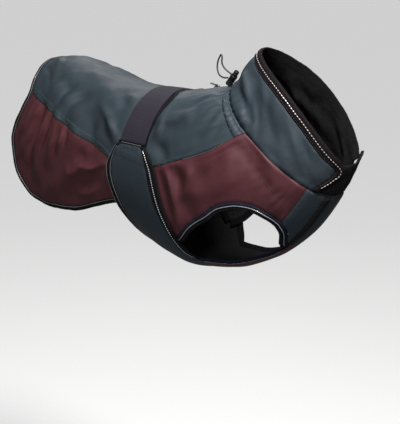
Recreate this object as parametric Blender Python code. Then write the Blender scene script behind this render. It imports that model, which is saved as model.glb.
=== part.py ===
"""Dog winter coat, as worn: metres, +Z up, +X towards the neck, -Y the side that carries the zip pull.

The coat is cut from panels that lie side by side on one body form. A place on the form is given by a
station, in millimetres along the back, and a girth angle, in degrees: 0 on the back, 90 on the -Y flank,
180 under the belly, and negative or over 180 on the +Y side. The origin is on the inner face of the back,
where the coat rests on the back that it keeps warm.
"""

import math

import bmesh
import bpy
import numpy as np
from mathutils import Vector

MM = 0.001

# Cloth and trim, in millimetres
SHELL = 1.8
LINING = 1.2
SEAM_GAP = 0.3
LINING_INNER = -1.5
CLOSING_END_UNDER = 4.2
BINDING_INNER, BINDING_OUTER = -0.4, 2.5
HEM_BINDING_WIDTH = 9.0
ARMHOLE_BINDING_WIDTH = 13.0
RIM_BINDING_WIDTH = 15.0
STRAP_WIDTH = 48.0
STRAP_INNER, STRAP_OUTER = 2.4, 4.2
FLAP_INNER, FLAP_OUTER = 3.3, 5.1
FLAP_BINDING_INNER, FLAP_BINDING_OUTER = 3.1, 5.5
CASING_OUTER = 2.5
CLOSURE_OUTER = 2.8
RIM_BINDING_INNER, RIM_BINDING_OUTER = -1.6, 2.7
CLOSING_END_INNER, CLOSING_END_OUTER = -0.5, 1.0
TAPE_INNER, TAPE_OUTER = -1.3, -0.5
TEETH_OUTER = 1.5
CORD_DIAMETER = 2.5
CORD_STEP = 5.5          # between the points of the cord's centreline
LOCK_DIAMETER, LOCK_LENGTH = 11.0, 19.0
BUTTON_DIAMETER, BUTTON_LENGTH = 8.0, 8.0
ROUND_OFF = 1.2          # of the lock's edges

# Stations along the back
NECK_SEAM = 139.5
CASING_REAR = 131.0
ZIP_REAR, ZIP_CLOSED, ZIP_FRONT = 34.0, 97.0, 127.0
ZIP_HALF_ANGLE = 1.6
CASING_REAR_ANGLE, CASING_FRONT_ANGLE = 76.0, 77.0

# The body form, one ring for each row: the ring's station, the x and z of its top and of its bottom,
# its half width, how far down it is widest (0 top, 1 bottom), and how square it is.
RINGS = np.array([
    # station  top x  top z  low x  low z  half  widest  square
    (-330, -330, 18, -330, -292, 76, 0.42, 0.03),
    (-265, -265, 29, -265, -296, 84, 0.42, 0.04),
    (-210, -210, 35, -210, -292, 90, 0.42, 0.05),
    (-150, -150, 22, -150, -276, 94, 0.42, 0.05),
    (-90, -90, 6, -90, -250, 96, 0.42, 0.04),
    (-30, -30, 0, -30, -240, 97, 0.42, 0.03),
    (30, 30, 0, 36, -262, 97, 0.42, 0.03),
    (60, 60, 3, 90, -272, 96, 0.42, 0.04),
    (90, 88, 8, 158, -261, 94, 0.43, 0.04),
    (110, 108, 12, 222, -233, 90, 0.44, 0.03),
    (125, 125, 14, 280, -185, 83, 0.45, 0.02),
    (138, 138, 16, 322, -128, 72, 0.47, 0.0),
    (170, 158, 47, 336, -106, 62, 0.48, 0.0),
    (200, 187, 77, 347, -84, 52, 0.48, 0.0),
    (220, 207, 97, 355, -68, 48, 0.48, 0.0),
    (240, 227, 117, 364, -52, 46, 0.48, 0.0),
])
RIM_ARCH = 12.0          # how far the sides of the collar's rim stand forward of a flat ring
GIRTH_MM_PER_DEGREE = 1.6

# The casing's gathers: one wave for every so many columns, higher along its middle than at its seams
CASING_COLUMNS, WAVE_COLUMNS = 65, 4
CASING_WAVES = ((0.14,), (0.7,), (0.14,))

# The flap runs over the strap's ends, higher by STRAP_LIFT above one girth angle and level below another,
# and comes down to the strip in front of it, in front of a station and below an angle.
STRAP_LIFT = 1.6
STRAP_LIFT_ANGLES = (81, 87)
FLAP_DOWN_STATIONS = (50, 68)
FLAP_DOWN_ANGLES = (138.2, 145.2)
FLAP_TOP_BINDING_ANGLE = 2.2

# Folds of the -Y side, each a soft ridge (or trough, where the height is negative) from one place to
# another. The +Y side repeats them a little further back and lower.
FOLDS = (
    # from station, angle, to station, angle, half width, height
    (-225, 62, -262, 90, 9, 3.0),
    (-205, 66, -246, 104, 8, -2.4),
    (-168, 68, -224, 103, 10, 3.2),
    (-124, 76, -188, 112, 9, 2.6),
    (-56, 93, -140, 103, 8, 3.0),
    (-70, 108, -150, 116, 8, -2.0),
    (-140, 103, -214, 116, 8, 2.2),
    (-189, 40, -84, 52, 12, -2.6),
    (-138, 18, -30, 46, 12, 2.2),
    (-68, 68, -36, 40, 9, -2.4),
    (124, 31, 92, 45, 8, 2.8),
    (92, 45, 42, 49, 8, 2.4),
    (40, 72, 106, 66, 9, -1.8),
    (62, 84, 66, 122, 8, 2.4),
    (78, 92, 84, 114, 7, -2.2),
    (97, 100, 117, 100, 8, 2.2),
    (129, 86, 128, 114, 9, -2.8),
    (132, 102, 131, 132, 8, 2.2),
    (174, 38, 148, 68, 6, 2.4),
    (186, 50, 149, 84, 7, -2.4),
    (186, 80, 146, 118, 9, 2.2),
    (192, 110, 148, 140, 9, -1.8),
)
FAR_SIDE_BACK, FAR_SIDE_ANGLE, FAR_SIDE_HEIGHT = -9.0, 3.0, 0.85

# Edges of the -Y side as (station, angle). The +Y side mirrors them.
SEAM_REAR = ((-249, 53), (-214, 61), (-179, 67), (-143, 72), (-110, 78), (-76, 83), (-40, 91), (0, 97))
SEAM_FRONT = ((0, 97), (44, 86), (75, 80), (106, 76.5), (CASING_REAR, CASING_REAR_ANGLE),
              (NECK_SEAM, CASING_FRONT_ANGLE))
HEM_TAIL = ((-256, 0), (-254, 24), (-249, 43), (-249, 53))
HEM_SIDE = ((-249, 53), (-262, 66), (-281, 79), (-289, 91), (-284, 104), (-262, 114))
HEM_LOWER = ((-262, 114), (-222, 120), (-170, 122.5), (-110, 123.5), (-46, 119), (0, 116))
HEM_UNDER_FLAP = ((0, 116), (30, 121), (50, 131.5))
ARMHOLE_TOP = ((50, 131.5), (62, 126), (74, 119), (94, 112), (107, 109), (115, 111), (121, 118),
               (124.5, 130), (125, 141))
ARMHOLE_CHEST = ((125, 141), (123, 152), (119.5, 161))
CHEST_BOTTOM = ((119.5, 161), (118.5, 168), (118, 180))
STRIP_EDGE = ((69, 149), (90, 155), (105, 161), (118.5, 168))
FLAP_FRONT_MIDDLE = ((69, 149), (71, 158), (71, 180))
STRIP_CORNER = (116.9, 160.8)          # where the armhole's binding meets that of the strip
FLAP_REAR = ((-16, 75.6), (-25, 81.8), (-31, 88.8), (-35, 94), (-36, 99), (-35, 104.5), (-32.5, 110),
             (-26, 121), (-17, 131), (-5, 145), (3, 162), (6, 180))
FLAP_REAR_WIDTH_ANGLES = (75, 82, 88, 93, 98)
FLAP_REAR_WIDTHS = (3.6, 4.2, 6.0, 8.8, 10.5)
FLAP_FRONT_OUTER = ((32, 72), (42, 78), (47.5, 85), (51, 93), (53, 101), (55.5, 110.5), (58, 117),
                    (61.5, 127), (71.5, 145))
FLAP_FRONT_INNER = ((23, 73), (30.5, 80), (34.5, 88), (37, 94.5), (39.5, 102), (43, 110), (47, 117),
                    (52, 126), (58, 136), (69, 149))
STRAP_CENTRE = ((3, 0), (5, 10), (10, 26), (11.2, 43), (9.5, 57), (6.2, 70), (5, 80))

# The collar's rim from its far end over the back to its near front corner, which it rounds, and then the
# near end's slanting front edge; the inner edge of the rim's binding, point for point; and the top of the
# black closing end that stands out beyond the near corner.
RIM = ((203, -150), (206, -136), (207, -110), (206, -80), (203, -45), (202, 0), (203, 45), (206, 80),
       (207, 110), (206, 138))
RIM_CORNER_OUTER = ((206, 138), (205, 151), (200, 162), (190, 165.5), (180, 161), (167, 157), (153, 153.5),
                    (NECK_SEAM, 150))
RIM_CORNER_INNER = ((190.5, 144.5), (189.5, 151), (183, 151.4), (173, 150.6), (163, 148.8), (152, 146.2),
                    (NECK_SEAM, 143.2))
CLOSING_END_TOP = ((190, 146), (200, 158), (208, 171), (216, 183), (225, 193), (225, 201), (215, 210))
CLOSING_END_SLOPE_ANGLES = (172, 198)  # between these the closing end comes out from behind the near end
COLLAR_END = -150

# The cord lock and the drawcord's loop over it, in millimetres
LOCK_BASE = (120, 0, 18.2)
LOCK_AXIS = (0.61, 0, 0.79)
CORD_ROUTE = (
    # x, y, z
    (120.2, -1.8, 28.9),
    (112, -2.0, 28.5),
    (103, -1.4, 32),
    (98.2, 0, 40),
    (97.6, 1.0, 49),
    (101, 1.2, 58),
    (105.2, 0.6, 62.6),
    (107.4, -0.2, 59),
    (107.2, -0.6, 52),
    (109, 0, 46),
    (113, 1.0, 41),
    (118, 1.8, 37.6),
    (123.4, 1.8, 34.6),
)
LOCK_SIDES = 16

# The zip, in millimetres: outlines are (x, y), seen from above or, for the bridge, from the side
PULL_LIFT = 25           # degrees that the pull tab stands up from the zip
TAPE_HALF_ANGLE = 7
TEETH_INSET_ANGLE = 0.25
SLIDER_AHEAD = 3         # of the last closed tooth
SLIDER_HEIGHT, BRIDGE_WIDTH, PULL_THICKNESS = 1.8, 2.2, 1.0
HINGE_RADIUS = 0.95
SLIDER_CLEARANCE = 0.4   # over the cloth
BRIDGE_SINK = 0.05       # into the slider
SLIDER_SIDE = ((-4.5, -1.8), (-3.9, -2.4), (2.5, -3.3), (4.0, -3.3), (4.6, -2.6))
BRIDGE_OUTLINE = ((-1.9, -0.8), (-0.95, -0.8), (-0.95, 1.95), (0.95, 1.95), (0.95, -0.8), (1.9, -0.8),
                  (1.9, 2.2), (1.3, 2.8), (-1.3, 2.8), (-1.9, 2.2))
PULL_OUTLINE = ((-12.0, -2.0), (-11.0, -2.6), (0.5, -2.6), (0.5, 2.6), (-11.0, 2.6), (-12.0, 2.0))
PULL_WINDOW = ((-3.6, -1.5), (-0.5, -1.5), (-0.5, 1.5), (-3.6, 1.5))

COLOURS = {
    # name: base colour, roughness, metallic
    "slate": ((0.045, 0.062, 0.078), 0.55, 0.0),
    "burgundy": ((0.085, 0.026, 0.030), 0.55, 0.0),
    "binding": ((0.008, 0.008, 0.010), 0.7, 0.0),
    "navy": ((0.012, 0.014, 0.030), 0.7, 0.0),
    "elastic": ((0.035, 0.030, 0.045), 0.8, 0.0),
    "lining": ((0.006, 0.006, 0.007), 0.9, 0.0),
    "plastic": ((0.01, 0.01, 0.011), 0.4, 0.0),
    "metal": ((0.05, 0.05, 0.055), 0.35, 1.0),
}


def clear_scene():
    for item in list(bpy.data.objects):
        bpy.data.objects.remove(item, do_unlink=True)


def make_material(name, colour):
    base, roughness, metallic = COLOURS[colour]
    material = bpy.data.materials.new(name)
    material.use_nodes = True
    shader = material.node_tree.nodes["Principled BSDF"]
    shader.inputs["Base Color"].default_value = (*base, 1.0)
    shader.inputs["Roughness"].default_value = roughness
    shader.inputs["Metallic"].default_value = metallic
    material.diffuse_color = (*base, 1.0)
    return material


def add_object(name, mesh, colour):
    mesh.materials.append(make_material(name + "_material", colour))
    item = bpy.data.objects.new(name, mesh)
    bpy.context.collection.objects.link(item)
    return item


# ---- The body form -------------------------------------------------------------------------------


def smooth_through(knots, values, at, overshoot=True):
    """A smooth curve through rows of values, read at each place of an array. Without overshoot it stays
    between each pair of rows."""
    slopes = np.zeros_like(values)
    steps = np.diff(knots)[:, None]
    rises = np.diff(values, axis=0) / steps
    before, after = rises[:-1], rises[1:]
    if overshoot:
        slopes[1:-1] = (before * steps[1:] + after * steps[:-1]) / (steps[:-1] + steps[1:])
    else:
        total = before + after
        level = np.where(np.abs(total) < 1e-12, 1.0, total)
        slopes[1:-1] = np.where(before * after > 0, 2 * before * after / level, 0)
    slopes[0], slopes[-1] = rises[0], rises[-1]
    at = np.clip(at, knots[0], knots[-1])
    i = np.clip(np.searchsorted(knots, at, side="right") - 1, 0, len(knots) - 2)
    width = (knots[i + 1] - knots[i])[..., None]
    t = (at - knots[i])[..., None] / width
    start = (2 * t**3 - 3 * t**2 + 1) * values[i] + (t**3 - 2 * t**2 + t) * width * slopes[i]
    return start + (3 * t**2 - 2 * t**3) * values[i + 1] + (t**3 - t**2) * width * slopes[i + 1]


def body_form(station, angle):
    """Points of the coat's inner face, in millimetres."""
    ring = smooth_through(RINGS[:, 0], RINGS[:, 1:], station, overshoot=False)
    top_x, top_z, low_x, low_z, half, widest, square = np.moveaxis(ring, -1, 0)
    turn = np.radians(angle)
    reach = 1 + square * np.sin(2 * turn) ** 2
    up = np.cos(turn) * reach
    down = np.where(up > 0, widest * (1 - up), widest - (1 - widest) * up)
    height = np.hypot(low_x - top_x, low_z - top_z)
    forward = np.interp(station, (138, 200), (0, RIM_ARCH)) * np.sin(turn) ** 2
    x = top_x + (low_x - top_x) * down + (top_z - low_z) / height * forward
    z = top_z + (low_z - top_z) * down + (low_x - top_x) / height * forward
    return np.stack([x, -half * np.sin(turn) * reach, z], axis=-1)


def fold_height(station, angle):
    """How far the folds lift the cloth, in millimetres."""
    angle = (angle + 180) % 360 - 180
    lift = np.zeros(np.shape(station))
    for from_s, from_a, to_s, to_a, half_width, height in FOLDS:
        for side in (1, -1):
            back, turn, scale = (0, 0, 1) if side > 0 else (FAR_SIDE_BACK, FAR_SIDE_ANGLE, FAR_SIDE_HEIGHT)
            start = np.array([from_s + back, (from_a + turn) * GIRTH_MM_PER_DEGREE])
            run = np.array([to_s - from_s, (to_a - from_a) * GIRTH_MM_PER_DEGREE])
            place = np.stack([station, side * angle * GIRTH_MM_PER_DEGREE], axis=-1) - start
            along = np.clip(place @ run / (run @ run), 0, 1)
            away = np.linalg.norm(place - along[..., None] * run, axis=-1)
            lift += scale * height * np.exp(-((away / half_width) ** 2))
    return lift


def lay(station, angle, height):
    """Points at a height over the coat's inner face, with its folds, in metres."""
    station, angle = np.broadcast_arrays(np.asarray(station, float), np.asarray(angle, float))
    step = 0.5
    along = body_form(station + step, angle) - body_form(station - step, angle)
    around = body_form(station, angle + step) - body_form(station, angle - step)
    outward = np.cross(around, along)
    outward /= np.linalg.norm(outward, axis=-1, keepdims=True)
    lifted = body_form(station, angle) + (fold_height(station, angle) + height)[..., None] * outward
    return lifted * MM


# ---- Edges and patches ---------------------------------------------------------------------------


def edge_parts(points, cuts, counts):
    """A smooth edge through (station, angle) points, cut at some of them, with as many points in each part
    as counts says."""
    points = np.asarray(points, float)
    run = np.concatenate([[0], np.cumsum(np.linalg.norm(np.diff(points, axis=0), axis=1))])
    ends = run[[0, *cuts, -1]]
    return [smooth_through(run, points, np.linspace(*each)) for each in zip(ends, ends[1:], counts)]


def mirror(points):
    """An edge of the -Y side, carried over to the +Y side."""
    return np.asarray(points, float) * (1, -1)


def over_the_midline(points):
    """An edge's other half: mirrored at the belly's midline and turned round."""
    return np.stack([points[::-1, 0], 360 - points[::-1, 1]], axis=1)


def smooth_edge(points, count):
    """A smooth edge through (station, angle) points, as count points evenly spaced along it."""
    points = np.asarray(points, float)
    run = np.concatenate([[0], np.cumsum(np.linalg.norm(np.diff(points, axis=0), axis=1))])
    return smooth_through(run, points, np.linspace(0, run[-1], count))


def edge_at_stations(points, stations):
    """A smooth edge given as an angle for each station."""
    points = np.asarray(points, float)
    angles = smooth_through(points[:, 0], points[:, 1:], np.asarray(stations, float))[:, 0]
    return np.stack([stations, angles], axis=1)


def straight(start, end, count):
    return np.linspace(start, end, count)


def join(*edges):
    """Edges that meet, as one."""
    return np.concatenate([edges[0]] + [each[1:] for each in edges[1:]])


def shifted(points, distance):
    """An edge moved sideways over the cloth by a distance in millimetres, to the right of its course."""
    points = np.asarray(points, float)
    s, a = points[:, 0], points[:, 1]
    step = 0.5
    along = (body_form(s + step, a) - body_form(s - step, a)) / (2 * step)
    around = (body_form(s, a + step) - body_form(s, a - step)) / (2 * step)
    outward = np.cross(around, along)
    outward /= np.linalg.norm(outward, axis=-1, keepdims=True)
    place = body_form(s, a)
    course = np.gradient(place, axis=0)
    course /= np.linalg.norm(course, axis=-1, keepdims=True)
    sideways = np.cross(course, outward) * distance
    metric = np.stack([along, around], axis=-1)
    change = [np.linalg.lstsq(m, v, rcond=None)[0] for m, v in zip(metric, sideways)]
    return points + np.array(change)


def patch(low, high, left, right):
    """A grid of (station, angle) between four edges: low and high run left to right, left and right run
    from low to high."""
    u = share_along(low)[:, None, None]
    v = share_along(left)[None, :, None]
    sides = (1 - v) * low[:, None] + v * high[:, None] + (1 - u) * left[None] + u * right[None]
    corners = (1 - u) * (1 - v) * low[0] + u * (1 - v) * low[-1] + (1 - u) * v * high[0] + u * v * high[-1]
    return sides - corners


def share_along(points):
    run = np.concatenate([[0], np.cumsum(np.linalg.norm(np.diff(points, axis=0), axis=1))])
    return run / run[-1]


def ribbon(first, second, rows=1):
    """A grid between two edges that have as many points as each other."""
    share = np.linspace(0, 1, rows + 1)[None, :, None]
    return first[:, None] * (1 - share) + second[:, None] * share


def ramp(value, ends):
    """0 up to the first end, 1 from the second on."""
    return np.clip((value - ends[0]) / (ends[1] - ends[0]), 0, 1)


# ---- Cloth walls ---------------------------------------------------------------------------------


def pulled_in(points):
    """The grid's outline drawn in by half a seam gap, square to each edge."""
    moved = points.copy()
    gap = SEAM_GAP / 2 * MM
    for outline, inside in (
        (np.s_[0], np.s_[1]),
        (np.s_[-1], np.s_[-2]),
        (np.s_[:, 0], np.s_[:, 1]),
        (np.s_[:, -1], np.s_[:, -2]),
    ):
        course = np.gradient(points[outline], axis=0)
        course /= np.linalg.norm(course, axis=-1, keepdims=True)
        inwards = points[inside] - points[outline]
        inwards -= (inwards * course).sum(axis=-1, keepdims=True) * course
        moved[outline] += gap * inwards / np.linalg.norm(inwards, axis=-1, keepdims=True)
    return moved


def wall(name, colour, grid, inner, outer, hole=None):
    """A cloth wall between two heights over a grid of places. hole(i, j) leaves a cell out. Both faces are
    split along the same diagonals, so walls laid over one another nest."""
    station, angle = grid[..., 0], grid[..., 1]
    sides = [pulled_in(lay(station, angle, np.broadcast_to(h, station.shape))) for h in (inner, outer)]
    rows, columns = station.shape
    mesh = bmesh.new()
    under, over = [[[mesh.verts.new(p) for p in row] for row in side] for side in sides]
    cells = {(i, j) for i in range(rows - 1) for j in range(columns - 1) if not (hole and hole(i, j))}
    for i, j in cells:
        corners = ((i, j), (i + 1, j), (i + 1, j + 1), (i, j + 1))
        for half in ((0, 1, 2), (0, 2, 3)):
            mesh.faces.new([over[corners[k][0]][corners[k][1]] for k in half])
            mesh.faces.new([under[corners[k][0]][corners[k][1]] for k in half[::-1]])
        beyond = ((i, j - 1), (i + 1, j), (i, j + 1), (i - 1, j))
        for k, neighbour in enumerate(beyond):
            if neighbour not in cells:
                (a, b), (c, d) = corners[k], corners[(k + 1) % 4]
                mesh.faces.new([over[a][b], under[a][b], under[c][d], over[c][d]])
    bmesh.ops.delete(mesh, geom=[v for v in mesh.verts if not v.link_faces], context="VERTS")
    if mesh.calc_volume(signed=True) < 0:
        bmesh.ops.reverse_faces(mesh, faces=mesh.faces)
    data = bpy.data.meshes.new(name)
    mesh.to_mesh(data)
    mesh.free()
    data.shade_smooth()
    data.set_sharp_from_angle(angle=math.radians(50))
    return add_object(name, data, colour)


# ---- Panels --------------------------------------------------------------------------------------

REAR_STATIONS = np.linspace(SEAM_REAR[0][0], 0, 20)
FRONT_STATIONS = np.linspace(0, CASING_REAR, 13)
SEAM_REAR_EDGE = edge_at_stations(SEAM_REAR, REAR_STATIONS)
SEAM_FRONT_EDGE = edge_at_stations(SEAM_FRONT, FRONT_STATIONS)
SIDE_ROWS = 10
CHEST_ROWS = 7
MIDDLE_SHARE = ZIP_HALF_ANGLE / CASING_REAR_ANGLE
BACK_SHARES = np.concatenate([np.linspace(1, 0.13, 8), [MIDDLE_SHARE]])
HEM_TAIL_EDGE, HEM_SIDE_EDGE, HEM_LOWER_EDGE = edge_parts(
    HEM_TAIL + HEM_SIDE[1:] + HEM_LOWER[1:], (3, 8), (60, SIDE_ROWS, len(SEAM_REAR_EDGE)))
ARMHOLE_EDGE = smooth_edge(ARMHOLE_TOP, 18)
CHEST_SEAM = straight((NECK_SEAM, 140), (125, 141), CHEST_ROWS)


def tail_hem():
    """The back panel's hem on one side, from its seam to beside the midline."""
    angles = BACK_SHARES * HEM_TAIL[-1][1]
    return np.stack([np.interp(angles, HEM_TAIL_EDGE[:, 1], HEM_TAIL_EDGE[:, 0]), angles], axis=1)


def build_back():
    """The back panel, with a slot for the lead on its midline."""
    near = join(SEAM_REAR_EDGE, SEAM_FRONT_EDGE)
    share = np.concatenate([BACK_SHARES, -BACK_SHARES[::-1]])
    rear = np.concatenate([tail_hem(), mirror(tail_hem()[::-1])])
    front = np.stack([np.full(len(share), CASING_REAR), share * CASING_REAR_ANGLE], axis=1)
    grid = patch(near, mirror(near), rear, front)
    middle = len(BACK_SHARES) - 1

    def slot(i, j):
        station = (grid[i, j, 0] + grid[i + 1, j, 0]) / 2
        return j == middle and ZIP_REAR < station < ZIP_FRONT

    wall("back_panel", "slate", grid, 0, SHELL, slot)


def build_sides(turn, label):
    """The rear and the front burgundy panel of one side."""
    down_flap = straight(SEAM_REAR[-1], HEM_LOWER[-1], SIDE_ROWS)
    rear = patch(SEAM_REAR_EDGE, HEM_LOWER_EDGE, HEM_SIDE_EDGE, down_flap)
    wall("side_rear_" + label, "burgundy", turn(rear), 0, SHELL)

    bottom = join(smooth_edge(HEM_UNDER_FLAP, 4), ARMHOLE_EDGE)
    casing_end = straight((CASING_REAR, CASING_REAR_ANGLE), (NECK_SEAM, CASING_FRONT_ANGLE), 2)
    neck = straight(casing_end[-1], CHEST_SEAM[0], 8)
    top = join(SEAM_FRONT_EDGE, casing_end, neck)
    front = patch(top, bottom, straight(SEAM_REAR[-1], HEM_LOWER[-1], CHEST_ROWS), CHEST_SEAM)
    wall("side_front_" + label, "burgundy", turn(front), 0, SHELL)


def strip_front():
    """The seam between the chest and the strip under it, from the -Y armhole to the +Y one."""
    half = straight(CHEST_BOTTOM[1], CHEST_BOTTOM[2], 5)
    return join(half, over_the_midline(half))


def build_chest():
    """Two slate chest panels, closed by a strip beside the midline."""
    armhole = smooth_edge(ARMHOLE_CHEST, 4)
    near = patch(
        straight((NECK_SEAM, 140), (NECK_SEAM, 161), 4), armhole, CHEST_SEAM,
        straight((NECK_SEAM, 161), (119.5, 161), CHEST_ROWS),
    )
    wall("chest_near", "slate", near, 0, SHELL)
    strip = patch(
        straight((NECK_SEAM, 161), (NECK_SEAM, 168), 2), np.array(CHEST_BOTTOM[:2], float),
        straight((NECK_SEAM, 161), (119.5, 161), CHEST_ROWS),
        straight((NECK_SEAM, 168), (118.5, 168), CHEST_ROWS),
    )
    wall("chest_closure", "binding", strip, 0, CLOSURE_OUTER)
    far_armhole = over_the_midline(join(armhole, np.array(CHEST_BOTTOM[:2], float)))
    bottom = join(strip_front()[::2], far_armhole)
    far = patch(
        straight((NECK_SEAM, 168), (NECK_SEAM, 220), len(bottom)), bottom,
        straight((NECK_SEAM, 168), (118.5, 168), CHEST_ROWS),
        straight((NECK_SEAM, 220), (125, 219), CHEST_ROWS),
    )
    wall("chest_far", "slate", far, 0, SHELL)


def flap_middle():
    """The seam between the flap and the strip in front of it, from the -Y armhole to the +Y one."""
    half = join(straight(*FLAP_FRONT_MIDDLE[:2], 2), straight(*FLAP_FRONT_MIDDLE[1:], 4))
    return join(half, over_the_midline(half))


def build_under_chest():
    """The strip between the two armholes and its two bindings."""
    edge_near = smooth_edge(STRIP_EDGE, 9)
    edge_far = over_the_midline(edge_near)[::-1]
    grid = patch(edge_near, edge_far, flap_middle(), strip_front())
    wall("under_chest", "burgundy", grid, 0, SHELL)
    for side, label in ((1, "near"), (-1, "far")):
        outer = shifted(edge_near, -HEM_BINDING_WIDTH)
        outer[0], outer[-1] = FLAP_FRONT_OUTER[-1], STRIP_CORNER
        strip = ribbon(edge_near, outer)
        if side < 0:
            strip = np.stack([strip[..., 0], 360 - strip[..., 1]], axis=-1)
        wall("under_chest_binding_" + label, "navy", strip, BINDING_INNER, BINDING_OUTER)


def flap_height(grid):
    """The flap lies over the side panels, over the strap's ends at its top, and comes down to the strip."""
    station, angle = grid[..., 0], np.abs((grid[..., 1] + 180) % 360 - 180)
    over_strap = STRAP_LIFT * (1 - ramp(angle, STRAP_LIFT_ANGLES))
    return over_strap - FLAP_INNER * ramp(station, FLAP_DOWN_STATIONS) * ramp(angle, FLAP_DOWN_ANGLES)


def rear_binding_width(course):
    """The binding behind the flap is narrow at the flap's top corners and full in width below them."""
    angle = 180 - np.abs(180 - course[:, 1])
    return np.interp(angle, FLAP_REAR_WIDTH_ANGLES, FLAP_REAR_WIDTHS)[:, None]


def build_flap():
    """The belly flap: one U-shaped panel up both flanks, with its bindings."""
    count = 14
    outer_front = smooth_edge(FLAP_FRONT_OUTER, count)
    inner_front = smooth_edge(FLAP_FRONT_INNER, count)
    rear_inner = smooth_edge(FLAP_REAR, count + 4)

    left = join(rear_inner, over_the_midline(rear_inner))
    right = join(inner_front, flap_middle(), over_the_midline(inner_front))
    top = straight(rear_inner[0], inner_front[0], 6)
    low = np.stack([top[:, 0], 360 - top[:, 1]], axis=1)
    grid = patch(top, low, left, right)
    lift = flap_height(grid)
    wall("belly_flap", "slate", grid, FLAP_INNER + lift, FLAP_OUTER + lift)

    rear_outer = shifted(left, rear_binding_width(left))
    strip = ribbon(left, rear_outer)
    lift = flap_height(strip)
    wall("flap_binding_rear", "binding", strip, FLAP_BINDING_INNER + lift, FLAP_BINDING_OUTER + lift)
    for side, label in ((1, "near"), (-1, "far")):
        strip = ribbon(inner_front, outer_front)
        if side < 0:
            strip = np.stack([strip[..., 0], 360 - strip[..., 1]], axis=-1)
        lift = flap_height(strip)
        wall("flap_binding_front_" + label, "binding", strip, FLAP_BINDING_INNER + lift,
             FLAP_BINDING_OUTER + lift)
        start = straight(rear_outer[0], outer_front[0], 7)
        above = start - (0, FLAP_TOP_BINDING_ANGLE)
        strip = ribbon(start, above) * (1, side)
        lift = flap_height(strip)
        wall("flap_binding_top_" + label, "binding", strip, FLAP_BINDING_INNER + lift,
             FLAP_BINDING_OUTER + lift)


def build_strap():
    """The elastic strap over the back, its ends under the flap's top edges."""
    centre = smooth_edge(STRAP_CENTRE, 14)
    centre = join(centre[::-1], mirror(centre))
    half = STRAP_WIDTH / 2
    grid = ribbon(centre + (half, 0), centre - (half, 0), rows=4)
    wall("back_strap", "elastic", grid, STRAP_INNER, STRAP_OUTER)


def build_hem_binding():
    """The binding along the whole hem, from under the flap round the tail and back."""
    near = join(tail_hem()[::-1], HEM_SIDE_EDGE, HEM_LOWER_EDGE, smooth_edge(HEM_UNDER_FLAP, 4))
    course = np.concatenate([mirror(near[::-1]), near])
    wall("hem_binding", "binding", ribbon(course, shifted(course, HEM_BINDING_WIDTH)), BINDING_INNER,
         BINDING_OUTER)


def build_armhole_bindings():
    """The binding round each armhole, up to the strip under the chest."""
    course = join(ARMHOLE_EDGE, smooth_edge(ARMHOLE_CHEST, 4), np.array(CHEST_BOTTOM[:2], float))
    inner = shifted(course, ARMHOLE_BINDING_WIDTH)
    inner[-1] = STRIP_CORNER
    strip = ribbon(course, inner)
    wall("armhole_binding_near", "navy", strip, BINDING_INNER, BINDING_OUTER)
    wall("armhole_binding_far", "navy", mirror(strip), BINDING_INNER, BINDING_OUTER)


def build_casing():
    """The gathered drawcord casing behind the neck seam."""
    across = np.linspace(1, -1, CASING_COLUMNS)
    stations = np.linspace(CASING_REAR, NECK_SEAM, len(CASING_WAVES))
    angles = np.linspace(CASING_REAR_ANGLE, CASING_FRONT_ANGLE, len(CASING_WAVES))
    grid = np.stack([
        np.stack([np.full(CASING_COLUMNS, station), angle * across], axis=1)
        for station, angle in zip(stations, angles)
    ])
    waves = np.cos(np.arange(CASING_COLUMNS) * 2 * math.pi / WAVE_COLUMNS)
    wall("neck_casing", "slate", grid, 0, CASING_OUTER + np.array(CASING_WAVES) * waves)


def build_collar():
    """The collar and its lining, the binding along its rim and near end, and the far closing end."""
    rim = smooth_edge(RIM, 36)
    corner = np.array(RIM_CORNER_OUTER, float)
    inner_rim = shifted(rim, RIM_BINDING_WIDTH)
    inner_corner = np.concatenate([inner_rim[-1:], RIM_CORNER_INNER])
    outer = join(rim, corner)
    inner = join(inner_rim, inner_corner)
    wall("collar_binding", "binding", ribbon(outer, inner), RIM_BINDING_INNER, RIM_BINDING_OUTER)

    turn = 2
    high = join(inner_rim, inner_corner[:turn + 1])
    near_end = inner_corner[turn:][::-1]
    low = straight((NECK_SEAM, COLLAR_END), (NECK_SEAM, inner_corner[-1, 1]), len(high))
    far_end = straight(low[0], high[0], len(near_end))
    grid = patch(low, high, far_end, near_end)
    wall("collar", "slate", grid, 0, SHELL)
    wall("collar_lining", "lining", grid, LINING_INNER, LINING_INNER + LINING)

    top = smooth_edge(CLOSING_END_TOP, 9)
    low = straight((NECK_SEAM, 142), (NECK_SEAM, 360 + COLLAR_END), len(top))
    grid = patch(low, top, straight(low[0], top[0], 6), straight(low[-1], top[-1], 6))
    under = CLOSING_END_UNDER * (1 - ramp(grid[..., 1], CLOSING_END_SLOPE_ANGLES))
    wall("collar_closing_end", "lining", grid, CLOSING_END_INNER - under, CLOSING_END_OUTER - under)


# ---- Cord, lock and zip --------------------------------------------------------------------------


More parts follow.
